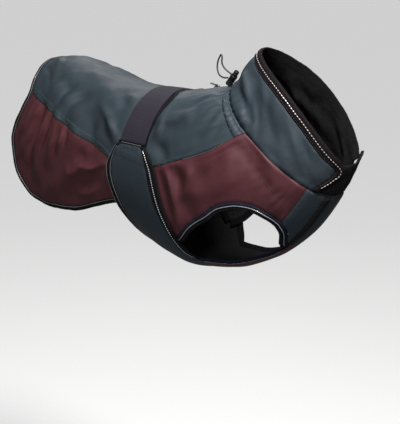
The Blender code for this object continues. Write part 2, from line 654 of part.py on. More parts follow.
def turned(name, colour, profile, place, direction):
    """A solid turned from (radius, height) pairs, set with its axis along a direction."""
    mesh = bmesh.new()
    rings = []
    for radius, height in profile:
        angles = np.linspace(0, 2 * math.pi, LOCK_SIDES, endpoint=False)
        rings.append([mesh.verts.new((radius * math.cos(a), radius * math.sin(a), height)) for a in angles])
    for lower, upper in zip(rings, rings[1:]):
        for k in range(LOCK_SIDES):
            after = (k + 1) % LOCK_SIDES
            mesh.faces.new((lower[k], lower[after], upper[after], upper[k]))
    mesh.faces.new(rings[0][::-1])
    mesh.faces.new(rings[-1])
    bmesh.ops.recalc_face_normals(mesh, faces=mesh.faces)
    bmesh.ops.scale(mesh, vec=(MM, MM, MM), verts=mesh.verts)
    data = bpy.data.meshes.new(name)
    mesh.to_mesh(data)
    mesh.free()
    data.shade_smooth()
    data.set_sharp_from_angle(angle=math.radians(40))
    item = add_object(name, data, colour)
    item.location = Vector(place) * MM
    item.rotation_euler = Vector(direction).to_track_quat("Z", "X").to_euler()
    return item


def build_cord_lock():
    """A barrel lock that leans over the casing, with its button on top."""
    r, length = LOCK_DIAMETER / 2, LOCK_LENGTH
    barrel = ((r - ROUND_OFF, 0), (r, ROUND_OFF), (r, length - ROUND_OFF), (r - ROUND_OFF, length))
    turned("cord_lock", "plastic", barrel, LOCK_BASE, LOCK_AXIS)
    r = BUTTON_DIAMETER / 2
    foot = Vector(LOCK_BASE) + Vector(LOCK_AXIS).normalized() * (length + SEAM_GAP)
    button = ((r, 0), (r, BUTTON_LENGTH - ROUND_OFF), (r - ROUND_OFF, BUTTON_LENGTH))
    turned("cord_lock_button", "plastic", button, foot, LOCK_AXIS)


def build_cord():
    """The drawcord's loop: both ends go into the lock."""
    route = np.array(CORD_ROUTE, float)
    run = np.concatenate([[0], np.cumsum(np.linalg.norm(np.diff(route, axis=0), axis=1))])
    count = int(run[-1] / CORD_STEP) + 1
    points = smooth_through(run, route, np.linspace(0, run[-1], count)) * MM
    curve = bpy.data.curves.new("drawcord", "CURVE")
    curve.dimensions = "3D"
    curve.bevel_depth = CORD_DIAMETER / 2 * MM
    curve.bevel_resolution = 2
    curve.use_fill_caps = True
    spline = curve.splines.new("POLY")
    spline.points.add(count - 1)
    for point, place in zip(spline.points, points):
        point.co = (*place, 1.0)
    item = bpy.data.objects.new("drawcord", curve)
    curve.materials.append(make_material("drawcord_material", "binding"))
    bpy.context.collection.objects.link(item)


def extruded(name, colour, outline, depth, holes=()):
    """An outline in x and y, extruded up from z = 0, in millimetres. A hole is another outline."""
    mesh = bmesh.new()
    loops = [[mesh.verts.new((x, y, 0)) for x, y in each] for each in (outline, *holes)]
    edges = [mesh.edges.new((a, b)) for each in loops for a, b in zip(each, each[1:] + each[:1])]
    bmesh.ops.triangle_fill(mesh, use_beauty=True, use_dissolve=False, edges=edges)
    lifted = bmesh.ops.extrude_face_region(mesh, geom=mesh.faces[:])
    top = [v for v in lifted["geom"] if isinstance(v, bmesh.types.BMVert)]
    bmesh.ops.translate(mesh, vec=(0, 0, depth), verts=top)
    bmesh.ops.recalc_face_normals(mesh, faces=mesh.faces)
    bmesh.ops.scale(mesh, vec=(MM, MM, MM), verts=mesh.verts)
    data = bpy.data.meshes.new(name)
    mesh.to_mesh(data)
    mesh.free()
    return add_object(name, data, colour)


def build_zip():
    """The lead slot's zip: tape under the panel, closed teeth, slider and pull tab."""
    stations = np.linspace(ZIP_REAR - 5, CASING_REAR - 1, 25)
    slot = edge_at_stations(SEAM_FRONT_EDGE, stations)[:, 1] * MIDDLE_SHARE
    outside = np.full(len(slot), TAPE_HALF_ANGLE)
    grid = np.stack([np.stack([stations, row], axis=1) for row in (outside, slot, -slot, -outside)], axis=1)

    def opening(i, j):
        return j == 1 and ZIP_CLOSED < (stations[i] + stations[i + 1]) / 2 < ZIP_FRONT

    wall("zip_tape", "binding", grid, TAPE_INNER, TAPE_OUTER, opening)
    closed = np.linspace(ZIP_REAR + 4, ZIP_CLOSED, 16)
    slot = edge_at_stations(SEAM_FRONT_EDGE, closed)[:, 1] * MIDDLE_SHARE - TEETH_INSET_ANGLE
    teeth = np.stack([np.stack([closed, slot], axis=1), np.stack([closed, -slot], axis=1)], axis=1)
    wall("zip_teeth", "plastic", teeth, 0, TEETH_OUTER)

    frame = bpy.data.objects.new("zip_frame", None)
    bpy.context.collection.objects.link(frame)
    behind, rest, ahead = [
        lay(ZIP_CLOSED + SLIDER_AHEAD + step, 0, SHELL + SLIDER_CLEARANCE) for step in (-2, 0, 2)]
    frame.location = rest
    frame.rotation_euler = (0, -math.atan2(ahead[2] - behind[2], ahead[0] - behind[0]), 0)

    body = SLIDER_SIDE + tuple((x, -y) for x, y in SLIDER_SIDE[::-1])
    slider = extruded("zip_slider", "metal", body, SLIDER_HEIGHT)
    slider.parent = frame
    bridge = extruded("zip_bridge", "metal", BRIDGE_OUTLINE, BRIDGE_WIDTH)
    bridge.parent = frame
    bridge.location = (0, BRIDGE_WIDTH / 2 * MM, (SLIDER_HEIGHT - BRIDGE_SINK) * MM)
    bridge.rotation_euler = (math.radians(90), 0, 0)
    bridge.hide_render = True
    bridge.display_type = "WIRE"
    joint = slider.modifiers.new("bridge", "BOOLEAN")
    joint.operation = "UNION"
    joint.object = bridge

    pull = extruded("zip_pull", "metal", PULL_OUTLINE, PULL_THICKNESS, (PULL_WINDOW,))
    for vertex in pull.data.vertices:
        vertex.co.z -= PULL_THICKNESS / 2 * MM
    pull.parent = frame
    pull.location = (0, 0, (SLIDER_HEIGHT + HINGE_RADIUS) * MM)
    pull.rotation_euler = (0, math.radians(PULL_LIFT), 0)


def main():
    clear_scene()
    build_back()
    build_sides(np.asarray, "near")
    build_sides(mirror, "far")
    build_chest()
    build_under_chest()
    build_flap()
    build_strap()
    build_hem_binding()
    build_armhole_bindings()
    build_casing()
    build_collar()
    build_cord_lock()
    build_cord()
    build_zip()


main()
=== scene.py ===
"""Looks of the dog winter coat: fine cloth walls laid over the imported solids, with their folds, gathers,
bindings, piping, stitching and zip.

As in the part's source, a place on the coat is a station, in millimetres along the back, and a girth
angle, in degrees: 0 on the back, 90 on the -Y flank, 180 under the belly, negative or over 180 on +Y.
"""

import math

import bpy
import numpy as np
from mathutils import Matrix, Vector


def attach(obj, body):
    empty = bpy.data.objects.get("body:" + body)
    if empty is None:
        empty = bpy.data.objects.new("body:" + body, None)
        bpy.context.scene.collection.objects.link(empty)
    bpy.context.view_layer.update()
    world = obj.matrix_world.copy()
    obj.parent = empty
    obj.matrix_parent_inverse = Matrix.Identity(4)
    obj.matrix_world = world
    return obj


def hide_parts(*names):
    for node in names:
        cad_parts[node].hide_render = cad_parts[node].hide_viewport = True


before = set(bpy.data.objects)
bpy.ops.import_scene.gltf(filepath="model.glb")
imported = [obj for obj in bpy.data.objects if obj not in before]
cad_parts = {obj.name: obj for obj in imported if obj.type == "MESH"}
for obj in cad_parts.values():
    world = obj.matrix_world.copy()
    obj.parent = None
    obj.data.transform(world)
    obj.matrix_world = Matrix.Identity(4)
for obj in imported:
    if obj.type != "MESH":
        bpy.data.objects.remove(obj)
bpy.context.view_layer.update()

MM = 0.001

# Cloth and trim, in millimetres
SHELL = 1.8
LINING = 1.2
SEAM_GAP = 0.3
LINING_INNER = -1.5
CLOSING_END_UNDER = 4.2
BINDING_INNER, BINDING_OUTER = -0.4, 2.5
HEM_BINDING_WIDTH = 9.0
ARMHOLE_BINDING_WIDTH = 13.0
RIM_BINDING_WIDTH = 15.0
STRAP_WIDTH = 48.0
STRAP_INNER, STRAP_OUTER = 2.4, 4.2
FLAP_INNER, FLAP_OUTER = 3.3, 5.1
FLAP_BINDING_INNER, FLAP_BINDING_OUTER = 3.1, 5.5
CASING_OUTER = 2.5
CLOSURE_OUTER = 2.8
RIM_BINDING_INNER, RIM_BINDING_OUTER = -1.6, 2.7
CLOSING_END_INNER, CLOSING_END_OUTER = -0.5, 1.0
TAPE_INNER, TAPE_OUTER = -1.3, -0.5
CORD_DIAMETER = 2.5
LOCK_DIAMETER, LOCK_LENGTH = 11.0, 19.0
BUTTON_DIAMETER, BUTTON_LENGTH = 8.0, 8.0

# Stations along the back
NECK_SEAM = 139.5
CASING_REAR = 131.0
ZIP_REAR, ZIP_CLOSED, ZIP_FRONT = 34.0, 97.0, 127.0
ZIP_HALF_ANGLE = 1.6
CASING_REAR_ANGLE, CASING_FRONT_ANGLE = 76.0, 77.0

# The body form, one ring for each row: the ring's station, the x and z of its top and of its bottom,
# its half width, how far down it is widest (0 top, 1 bottom), and how square it is.
RINGS = np.array([
    # station  top x  top z  low x  low z  half  widest  square
    (-330, -330, 18, -330, -292, 76, 0.42, 0.03),
    (-265, -265, 29, -265, -296, 84, 0.42, 0.04),
    (-210, -210, 35, -210, -292, 90, 0.42, 0.05),
    (-150, -150, 22, -150, -276, 94, 0.42, 0.05),
    (-90, -90, 6, -90, -250, 96, 0.42, 0.04),
    (-30, -30, 0, -30, -240, 97, 0.42, 0.03),
    (30, 30, 0, 36, -262, 97, 0.42, 0.03),
    (60, 60, 3, 90, -272, 96, 0.42, 0.04),
    (90, 88, 8, 158, -261, 94, 0.43, 0.04),
    (110, 108, 12, 222, -233, 90, 0.44, 0.03),
    (125, 125, 14, 280, -185, 83, 0.45, 0.02),
    (138, 138, 16, 322, -128, 72, 0.47, 0.0),
    (170, 158, 47, 336, -106, 62, 0.48, 0.0),
    (200, 187, 77, 347, -84, 52, 0.48, 0.0),
    (220, 207, 97, 355, -68, 48, 0.48, 0.0),
    (240, 227, 117, 364, -52, 46, 0.48, 0.0),
])
RIM_ARCH = 12.0          # how far the sides of the collar's rim stand forward of a flat ring
RIM_ARCH_STATIONS = (138, 200)
GIRTH_MM_PER_DEGREE = 1.6

CASING_COLUMNS, WAVE_COLUMNS = 65, 4

# The flap runs over the strap's ends, higher by STRAP_LIFT above one girth angle and level below another,
# and comes down to the strip in front of it, in front of a station and below an angle.
STRAP_LIFT = 1.6
STRAP_LIFT_ANGLES = (81, 87)
FLAP_DOWN_STATIONS = (50, 68)
FLAP_DOWN_ANGLES = (138.2, 145.2)
FLAP_TOP_BINDING_ANGLE = 2.2

# Folds of the -Y side, each a soft ridge (or trough, where the height is negative) from one place to
# another. The +Y side repeats them a little further back and lower.
FOLDS = (
    # from station, angle, to station, angle, half width, height
    (-225, 62, -262, 90, 9, 3.0),
    (-205, 66, -246, 104, 8, -2.4),
    (-168, 68, -224, 103, 10, 3.2),
    (-124, 76, -188, 112, 9, 2.6),
    (-56, 93, -140, 103, 8, 3.0),
    (-70, 108, -150, 116, 8, -2.0),
    (-140, 103, -214, 116, 8, 2.2),
    (-189, 40, -84, 52, 12, -2.6),
    (-138, 18, -30, 46, 12, 2.2),
    (-68, 68, -36, 40, 9, -2.4),
    (124, 31, 92, 45, 8, 2.8),
    (92, 45, 42, 49, 8, 2.4),
    (40, 72, 106, 66, 9, -1.8),
    (62, 84, 66, 122, 8, 2.4),
    (78, 92, 84, 114, 7, -2.2),
    (97, 100, 117, 100, 8, 2.2),
    (129, 86, 128, 114, 9, -2.8),
    (132, 102, 131, 132, 8, 2.2),
    (174, 38, 148, 68, 6, 2.4),
    (186, 50, 149, 84, 7, -2.4),
    (186, 80, 146, 118, 9, 2.2),
    (192, 110, 148, 140, 9, -1.8),
)
FAR_SIDE_BACK, FAR_SIDE_ANGLE, FAR_SIDE_HEIGHT = -9.0, 3.0, 0.85

# Edges of the -Y side as (station, angle). The +Y side mirrors them.
SEAM_REAR = ((-249, 53), (-214, 61), (-179, 67), (-143, 72), (-110, 78), (-76, 83), (-40, 91), (0, 97))
SEAM_FRONT = ((0, 97), (44, 86), (75, 80), (106, 76.5), (CASING_REAR, CASING_REAR_ANGLE),
              (NECK_SEAM, CASING_FRONT_ANGLE))
HEM_TAIL = ((-256, 0), (-254, 24), (-249, 43), (-249, 53))
HEM_SIDE = ((-249, 53), (-262, 66), (-281, 79), (-289, 91), (-284, 104), (-262, 114))
HEM_LOWER = ((-262, 114), (-222, 120), (-170, 122.5), (-110, 123.5), (-46, 119), (0, 116))
HEM_UNDER_FLAP = ((0, 116), (30, 121), (50, 131.5))
ARMHOLE_TOP = ((50, 131.5), (62, 126), (74, 119), (94, 112), (107, 109), (115, 111), (121, 118),
               (124.5, 130), (125, 141))
ARMHOLE_CHEST = ((125, 141), (123, 152), (119.5, 161))
CHEST_BOTTOM = ((119.5, 161), (118.5, 168), (118, 180))
STRIP_EDGE = ((69, 149), (90, 155), (105, 161), (118.5, 168))
FLAP_FRONT_MIDDLE = ((69, 149), (71, 158), (71, 180))
STRIP_CORNER = (116.9, 160.8)          # where the armhole's binding meets that of the strip
FLAP_REAR = ((-16, 75.6), (-25, 81.8), (-31, 88.8), (-35, 94), (-36, 99), (-35, 104.5), (-32.5, 110),
             (-26, 121), (-17, 131), (-5, 145), (3, 162), (6, 180))
FLAP_REAR_WIDTH_ANGLES = (75, 82, 88, 93, 98)
FLAP_REAR_WIDTHS = (3.6, 4.2, 6.0, 8.8, 10.5)
FLAP_FRONT_OUTER = ((32, 72), (42, 78), (47.5, 85), (51, 93), (53, 101), (55.5, 110.5), (58, 117),
                    (61.5, 127), (71.5, 145))
FLAP_FRONT_INNER = ((23, 73), (30.5, 80), (34.5, 88), (37, 94.5), (39.5, 102), (43, 110), (47, 117),
                    (52, 126), (58, 136), (69, 149))
STRAP_CENTRE = ((3, 0), (5, 10), (10, 26), (11.2, 43), (9.5, 57), (6.2, 70), (5, 80))

# The collar's rim from its far end over the back to its near front corner, which it rounds, and then the
# near end's slanting front edge; the inner edge of the rim's binding, point for point; and the top of the
# black closing end that stands out beyond the near corner.
RIM = ((203, -150), (206, -136), (207, -110), (206, -80), (203, -45), (202, 0), (203, 45), (206, 80),
       (207, 110), (206, 138))
RIM_CORNER_OUTER = ((206, 138), (205, 151), (200, 162), (190, 165.5), (180, 161), (167, 157), (153, 153.5),
                    (NECK_SEAM, 150))
RIM_CORNER_INNER = ((190.5, 144.5), (189.5, 151), (183, 151.4), (173, 150.6), (163, 148.8), (152, 146.2),
                    (NECK_SEAM, 143.2))
CLOSING_END_TOP = ((190, 146), (200, 158), (208, 171), (216, 183), (225, 193), (225, 201), (215, 210))
CLOSING_END_SLOPE_ANGLES = (172, 198)  # between these the closing end comes out from behind the near end
COLLAR_END = -150

# The cord lock and the drawcord's loop over it, in millimetres
LOCK_BASE = (120, 0, 18.2)
LOCK_AXIS = (0.61, 0, 0.79)
CORD_ROUTE = (
    # x, y, z
    (120.2, -1.8, 28.9),
    (112, -2.0, 28.5),
    (103, -1.4, 32),
    (98.2, 0, 40),
    (97.6, 1.0, 49),
    (101, 1.2, 58),
    (105.2, 0.6, 62.6),
    (107.4, -0.2, 59),
    (107.2, -0.6, 52),
    (109, 0, 46),
    (113, 1.0, 41),
    (118, 1.8, 37.6),
    (123.4, 1.8, 34.6),
)

# The zip, in degrees and millimetres
TAPE_HALF_ANGLE = 7
COIL_PITCH, TOOTH_PITCH = 0.85, 1.5    # of the closed zip's coil, and of the open rows' teeth
SLIDER_REACH = 6                       # how far in front of the closed end the open rows start

# The felled band along the back panel's seams: its width at each of these stations, in millimetres
BAND_STATIONS, BAND_WIDTHS = (-249, -230, -70, 20), (9.0, 12.0, 10.5, 6.8)

# How far the strap's black under-tape shows in front of it, in millimetres, at these girth angles: a painted
# shadow, black laid in the gap under the strap's front edge, where that gap lies in shade.
BACKING_AND_SHADE_ANGLES = (0, 10, 20, 30, 38, 46, 56, 72)
BACKING_AND_SHADE_WIDTHS = (10.0, 14.0, 16.0, 15.0, 12.0, 6.0, 3.6, 3.0)
STRAP_SEWN_ANGLES = (72.4, 69.6)       # of the two sewn lines at each of the strap's lower ends

# The camera, the lamps and the floor below the coat, in metres
CAMERA_PLACE = (1.125, -1.266, 0.250)
CAMERA_TARGET = (0.070, -0.008, -0.190)
CAMERA_LENS = 90.2
LAMPS = (
    # name, place, aim, power, size, colour
    ("key", (0.75, -0.45, 1.15), (0.02, 0.0, -0.08), 50, 0.34, (1.0, 0.99, 0.97)),
    ("front", (0.55, -1.2, 0.35), (-0.14, 0.0, -0.12), 7, 0.3, (0.98, 0.99, 1.0)),
    ("rim", (-1.1, 1.1, 1.2), (0.0, 0.0, -0.1), 10, 0.7, (1.0, 1.0, 1.0)),
)
WORLD_STRENGTH = 0.2
FLOOR, FLOOR_HALF = -1.1, 40.0
FLOOR_GREY, FLOOR_GLOW = (0.6, 0.6, 0.6, 1), 0.5


# ---- The body form, edges and patches, as in the part's source -------------------------------------


def lengths_along(points):
    """How far along a course each of its points lies."""
    return np.concatenate([[0], np.cumsum(np.linalg.norm(np.diff(points, axis=0), axis=1))])


def unit(vectors):
    return vectors / np.linalg.norm(vectors, axis=-1, keepdims=True)


def smooth_through(knots, values, at, overshoot=True):
    """A smooth curve through rows of values, read at each place of an array. Without overshoot it stays
    between each pair of rows."""
    slopes = np.zeros_like(values)
    steps = np.diff(knots)[:, None]
    rises = np.diff(values, axis=0) / steps
    before, after = rises[:-1], rises[1:]
    if overshoot:
        slopes[1:-1] = (before * steps[1:] + after * steps[:-1]) / (steps[:-1] + steps[1:])
    else:
        total = before + after
        level = np.where(np.abs(total) < 1e-12, 1.0, total)
        slopes[1:-1] = np.where(before * after > 0, 2 * before * after / level, 0)
    slopes[0], slopes[-1] = rises[0], rises[-1]
    at = np.clip(at, knots[0], knots[-1])
    i = np.clip(np.searchsorted(knots, at, side="right") - 1, 0, len(knots) - 2)
    width = (knots[i + 1] - knots[i])[..., None]
    t = (at - knots[i])[..., None] / width
    start = (2 * t**3 - 3 * t**2 + 1) * values[i] + (t**3 - 2 * t**2 + t) * width * slopes[i]
    return start + (3 * t**2 - 2 * t**3) * values[i + 1] + (t**3 - t**2) * width * slopes[i + 1]


def body_form(station, angle):
    """Points of the coat's inner face, in millimetres."""
    ring = smooth_through(RINGS[:, 0], RINGS[:, 1:], station, overshoot=False)
    top_x, top_z, low_x, low_z, half, widest, square = np.moveaxis(ring, -1, 0)
    turn = np.radians(angle)
    reach = 1 + square * np.sin(2 * turn) ** 2
    up = np.cos(turn) * reach
    down = np.where(up > 0, widest * (1 - up), widest - (1 - widest) * up)
    height = np.hypot(low_x - top_x, low_z - top_z)
    forward = np.interp(station, RIM_ARCH_STATIONS, (0, RIM_ARCH)) * np.sin(turn) ** 2
    x = top_x + (low_x - top_x) * down + (top_z - low_z) / height * forward
    z = top_z + (low_z - top_z) * down + (low_x - top_x) / height * forward
    return np.stack([x, -half * np.sin(turn) * reach, z], axis=-1)
def edge_parts(points, cuts, counts):
    """A smooth edge through (station, angle) points, cut at some of them, with as many points in each part
    as counts says."""
    points = np.asarray(points, float)
    run = lengths_along(points)
    ends = run[[0, *cuts, -1]]
    return [smooth_through(run, points, np.linspace(*each)) for each in zip(ends, ends[1:], counts)]


def smooth_edge(points, count):
    """A smooth edge through (station, angle) points, as count points evenly spaced along it."""
    return edge_parts(points, (), (count,))[0]


def edge_at_stations(points, stations):
    """A smooth edge given as an angle for each station."""
    points = np.asarray(points, float)
    angles = smooth_through(points[:, 0], points[:, 1:], np.asarray(stations, float))[:, 0]
    return np.stack([stations, angles], axis=1)


def straight(start, end, count):
    return np.linspace(start, end, count)


def join(*edges):
    """Edges that meet, as one."""
    return np.concatenate([edges[0]] + [each[1:] for each in edges[1:]])


def between(first, second, share, trim=0):
    """The line at a share of the way between two, less a few points at each end."""
    return (first * (1 - share) + second * share)[trim:len(first) - trim]


def far(points):
    """A course on the -Y side, carried over to the +Y side."""
    return np.asarray(points, float) * (1, -1)


def far_half(points):
    """A course's other half: mirrored at the belly's midline."""
    return np.stack([points[..., 0], 360 - points[..., 1]], axis=-1)


def with_far_half(half):
    """A course up to the belly's midline, and its mirrored half after it."""
    return join(half, far_half(half)[::-1])


BOTH_SIDES = ((np.asarray, "near"), (far, "far"))
BOTH_HALVES = ((np.asarray, "near"), (far_half, "far"))


def steps_over(station, angle):
    """How the form moves for a step along the back and for one round the girth."""
    step = 0.5
    along = (body_form(station + step, angle) - body_form(station - step, angle)) / (2 * step)
    around = (body_form(station, angle + step) - body_form(station, angle - step)) / (2 * step)
    return along, around


def outward(station, angle):
    """The form's unit normals."""
    along, around = steps_over(station, angle)
    return unit(np.cross(around, along))


def shifted(points, distance):
    """An edge moved sideways over the cloth by a distance in millimetres, to the right of its course."""
    points = np.asarray(points, float)
    along, around = steps_over(*points.T)
    course = unit(np.gradient(body_form(*points.T), axis=0))
    sideways = np.cross(course, outward(*points.T)) * distance
    metric = np.stack([along, around], axis=-1)
    change = [np.linalg.lstsq(m, v, rcond=None)[0] for m, v in zip(metric, sideways)]
    return points + np.array(change)


def patch(low, high, left, right):
    """A grid of (station, angle) between four edges: low and high run left to right, left and right run
    from low to high."""
    u, v = (lengths_along(edge) / lengths_along(edge)[-1] for edge in (low, left))
    u, v = u[:, None, None], v[None, :, None]
    sides = (1 - v) * low[:, None] + v * high[:, None] + (1 - u) * left[None] + u * right[None]
    corners = (1 - u) * (1 - v) * low[0] + u * (1 - v) * low[-1] + (1 - u) * v * high[0] + u * v * high[-1]
    return sides - corners


def ribbon(first, second, rows=1):
    """A grid between two edges that have as many points as each other."""
    share = np.linspace(0, 1, rows + 1)[None, :, None]
    return first[:, None] * (1 - share) + second[:, None] * share


def ramp(value, ends):
    """0 up to the first end, 1 from the second on."""
    return np.clip((value - ends[0]) / (ends[1] - ends[0]), 0, 1)


# ---- Relief: folds, creases, gathers and puckers -------------------------------------------------

# Creases of the -Y side that are too fine for the solids. The +Y side has them shifted and weaker.
CREASES = (
    # from station, angle, to station, angle, half width, height, lean
    (-234, 65, -268, 82, 5.9, 3.6, 0.2),
    (-230, 76, -270, 95, 4.7, 3.6, 0.2),
    (-206, 65, -244, 93, 5.3, -3.4, 0.0),
    (-190, 66, -250, 100, 5.5, 4.2, 0.2),
    (-181, 66, -220, 96, 4.6, -3.4, 0.1),
    (-164, 71, -192, 97, 7.2, 4.5, 0.1),
    (-162, 72, -176, 86, 3.4, -2.5, 0.0),
    (-149, 73, -164, 90, 4.7, 3.9, 0.2),
    (-141, 75, -154, 92, 4.4, -2.1, 0.0),
    (-216, 64, -232, 72, 3.9, 2.2, 0.2),
    (-226, 88, -262, 106, 5.8, -2.0, 0.0),
    (-52, 94, -112, 98, 3.2, 2.4, 0.6),
    (-108, 98, -140, 103, 3.6, 1.8, 0.6),
    (-58, 90, -112, 93, 7.0, -2.4, 0.0),
    (-60, 99, -134, 108, 6.0, -2.0, 0.0),
    (-72, 111, -124, 115, 4.0, 1.5, 0.3),
    (-96, 84, -120, 96, 6.0, -1.6, 0.0),
    (-244, 10, -206, 34, 7.0, 1.8, 0.3),
    (-240, 30, -206, 48, 5.0, -1.8, 0.2),
    (-198, 54, -174, 43, 5.0, 2.2, 0.4),
    (-186, 48, -160, 28, 8.0, 1.6, 0.3),
    (-172, 56, -152, 40, 5.0, -2.8, 0.0),
    (-166, 60, -130, 44, 5.5, 2.2, 0.4),
    (-148, 59, -107, 39, 6.0, -3.0, 0.2),
    (-140, 66, -96, 50, 7.8, 2.6, 0.1),
    (-80, 47, -28, 73, 7.5, 4.2, -0.4),
    (-122, 50, -76, 84, 21.0, -6.0, 0.0),
    (-70, 62, -40, 80, 9.0, -1.6, 0.0),
    (-54, 60, -24, 72, 3.2, 1.4, 0.4),
    (-46, 30, -10, 40, 7.0, 1.6, 0.0),
    (-64, 26, -30, 52, 8.0, -1.4, 0.0),
    (129, 32, 97, 45, 3.2, 2.2, 0.6),
    (99, 45, 50, 49, 3.2, 2.0, 0.6),
    (112, 31, 62, 40, 6.0, -1.6, 0.0),
    (112, 50, 60, 58, 8.0, -1.4, 0.0),
    (54, 48, 42, 63, 4.0, 2.6, 0.5),
    (46, 67, 64, 82, 8.5, -3.6, 0.0),
    (118, 22, 88, 29, 3.5, 1.2, 0.3),
    (108, 62, 84, 72, 5.0, 1.4, 0.4),
    (129, 38, 106, 50, 3.6, 1.8, 0.4),
    (127, 46, 108, 58, 3.0, -1.6, 0.0),
    (128, 52, 110, 63, 3.4, 1.8, 0.5),
    (127, 60, 112, 70, 3.0, -1.4, 0.0),
    (64, 86, 68, 104, 3.8, 2.4, 0.6),
    (70, 102, 64, 122, 4.2, 1.6, 0.5),
    (54, 88, 60, 118, 6.5, -2.6, 0.0),
    (58, 86, 86, 82, 4.0, 1.6, 0.4),
    (46, 106, 60, 124, 4.0, 1.4, 0.3),
    (92, 83, 88, 95, 3.8, 2.4, 0.6),
    (88, 94, 76, 103, 3.8, 2.0, 0.5),
    (81, 83, 74, 97, 5.0, -2.0, 0.0),
    (101, 83, 98, 104, 6.0, -1.6, 0.0),
    (124, 80, 116, 98, 4.5, 1.8, 0.4),
    (119, 82, 108, 92, 3.5, -1.4, 0.0),
    (134, 84, 126, 112, 4.2, -2.2, 0.0),
    (136, 92, 130, 124, 4.0, 1.7, 0.4),
    (137, 110, 128, 136, 4.5, -1.6, 0.0),
    (174, 28, 164, 60, 4.2, 2.6, 0.5),
    (168, 64, 146, 82, 4.2, 2.6, 0.5),
    (160, 40, 152, 70, 4.0, -2.4, 0.0),
    (176, 66, 158, 104, 9.0, -3.0, 0.2),
    (188, 60, 170, 78, 5.0, 1.8, 0.4),
    (188, 92, 156, 128, 6.5, 1.9, 0.3),
    (178, 118, 150, 140, 5.0, 1.3, 0.3),
    (186, 110, 160, 134, 4.5, -1.3, 0.0),
    (0, 96, 20, 128, 7.0, 1.0, 0.2),
    (-14, 86, 8, 118, 6.0, -0.9, 0.0),
)
CREASE_SCALE = 1.45      # how much deeper than listed the creases are pressed
CREASE_BOW = 0.08        # how far a crease bows aside, as a share of its length
CREASE_ENDS = 0.35       # how much of its height is left at its ends
CREASE_FAR_HEIGHT = 0.8  # how much of it the +Y side has
STRAP_DENT = 1.4         # how deep the taut strap presses into the cloth, in millimetres
FACING_STATION = 130.4   # where the neck's facing is sewn through the side panels
STRAP_GAP = 3.6          # how deep the cloth sinks in front of the strap
STRAP_SWELL = 2.4        # how high it rises in front of that
CALM_HALF_ANGLE = 12.0   # no creases this near the zip and the cord lock, in degrees
GATHER_REACH = 17.0      # how far the casing's gathers fan out into the cloth, in stations
GATHER_LENGTHS = (13.5, 8.3)     # from fold to fold of its two rows of gathers, in millimetres
GATHER_STRENGTHS = (1.15, 0.85)  # of the gathers, and how much less of it the casing has

# The casing's roll, the tight neck seam, and the collar's swell and hollow in front of it
NECK_FORMS = (
    # station, half width, height, and the girth angles from which and to which it fades in
    (132.8, 1.7, 1.7, 92, 74),
    (136.2, 1.6, -0.9, 92, 74),
    (NECK_SEAM, 1.5, -1.4, 200, 190),
    (NECK_SEAM, 1.5, -1.4, 92, 74),
    (148, 6.0, 2.8, 110, 40),
    (162, 8.0, -2.4, 112, 50),
)


def smoothstep(low, high, value):
    t = np.clip((value - low) / (high - low), 0, 1)
    return t * t * (3 - 2 * t)


def bell(value, middle, width):
    """1 at the middle, and away to 0 on both sides of it."""
    return np.exp(-(((value - middle) / width) ** 2))


def wrapped(angle):
    return (np.asarray(angle, float) + 180) % 360 - 180


def beside_folds(folds, station, angle, far_turn, far_height):
    """For each fold of a table, once on each side: the places from its start, its run, its scale and form."""
    girth = wrapped(angle) * GIRTH_MM_PER_DEGREE
    for from_s, from_a, to_s, to_a, *form in folds:
        run = np.array([to_s - from_s, (to_a - from_a) * GIRTH_MM_PER_DEGREE])
        for side, back, turn, scale in ((1, 0, 0, 1), (-1, FAR_SIDE_BACK, far_turn, far_height)):
            start = np.array([from_s + back, (from_a + turn) * GIRTH_MM_PER_DEGREE])
            yield np.stack([station, side * girth], axis=-1) - start, run, scale, form


def main_folds(station, angle):
    """The solids' own folds, in millimetres."""
    lift = np.zeros(np.shape(station))
    folds = beside_folds(FOLDS, station, angle, FAR_SIDE_ANGLE, FAR_SIDE_HEIGHT)
    for where, run, scale, (half_width, height) in folds:
        along = np.clip(where @ run / (run @ run), 0, 1)
        away = np.linalg.norm(where - along[..., None] * run, axis=-1)
        lift += scale * height * bell(away, 0, half_width)
    return lift


def fine_creases(station, angle):
    """Narrow creases that fade at both ends and lean to one side."""
    lift = np.zeros(np.shape(station))
    folds = beside_folds(CREASES, station, angle, 2 * FAR_SIDE_ANGLE, CREASE_FAR_HEIGHT)
    for where, run, scale, (half_width, height, lean) in folds:
        length = np.hypot(*run)
        share = where @ run / length**2
        along = np.clip(share, 0, 1)
        bow = CREASE_BOW * length * np.sin(math.pi * along)
        aside = (where[..., 0] * run[1] - where[..., 1] * run[0]) / length - bow
        away = np.hypot(aside, (share - along) * length)
        fade = CREASE_ENDS + (1 - CREASE_ENDS) * np.sin(math.pi * along)
        profile = bell(away, 0, half_width) * (1 + lean * np.tanh(aside / half_width))
        lift += scale * CREASE_SCALE * height * fade * profile
    return lift


def wave_field(seed, count, shortest, longest):
    """A smooth, uneven field of two coordinates in millimetres, about -1 to 1."""
    random = np.random.default_rng(seed)
    lengths = np.exp(random.uniform(math.log(shortest), math.log(longest), count))
    turns = random.uniform(0, 2 * math.pi, count)
    phases = random.uniform(0, 2 * math.pi, count)

    def field(x, y):
        total = np.zeros(np.shape(x))
        for length, turn, phase in zip(lengths, turns, phases):
            total += np.sin(2 * math.pi * (x * math.cos(turn) + y * math.sin(turn)) / length + phase)
        return total / math.sqrt(count)

    return field


UNEVEN = wave_field(3, 14, 22, 80)
CRINKLE = wave_field(5, 18, 7, 16)
GATHER_DRIFT = wave_field(8, 6, 60, 200)
PUCKER = wave_field(21, 12, 5, 11)


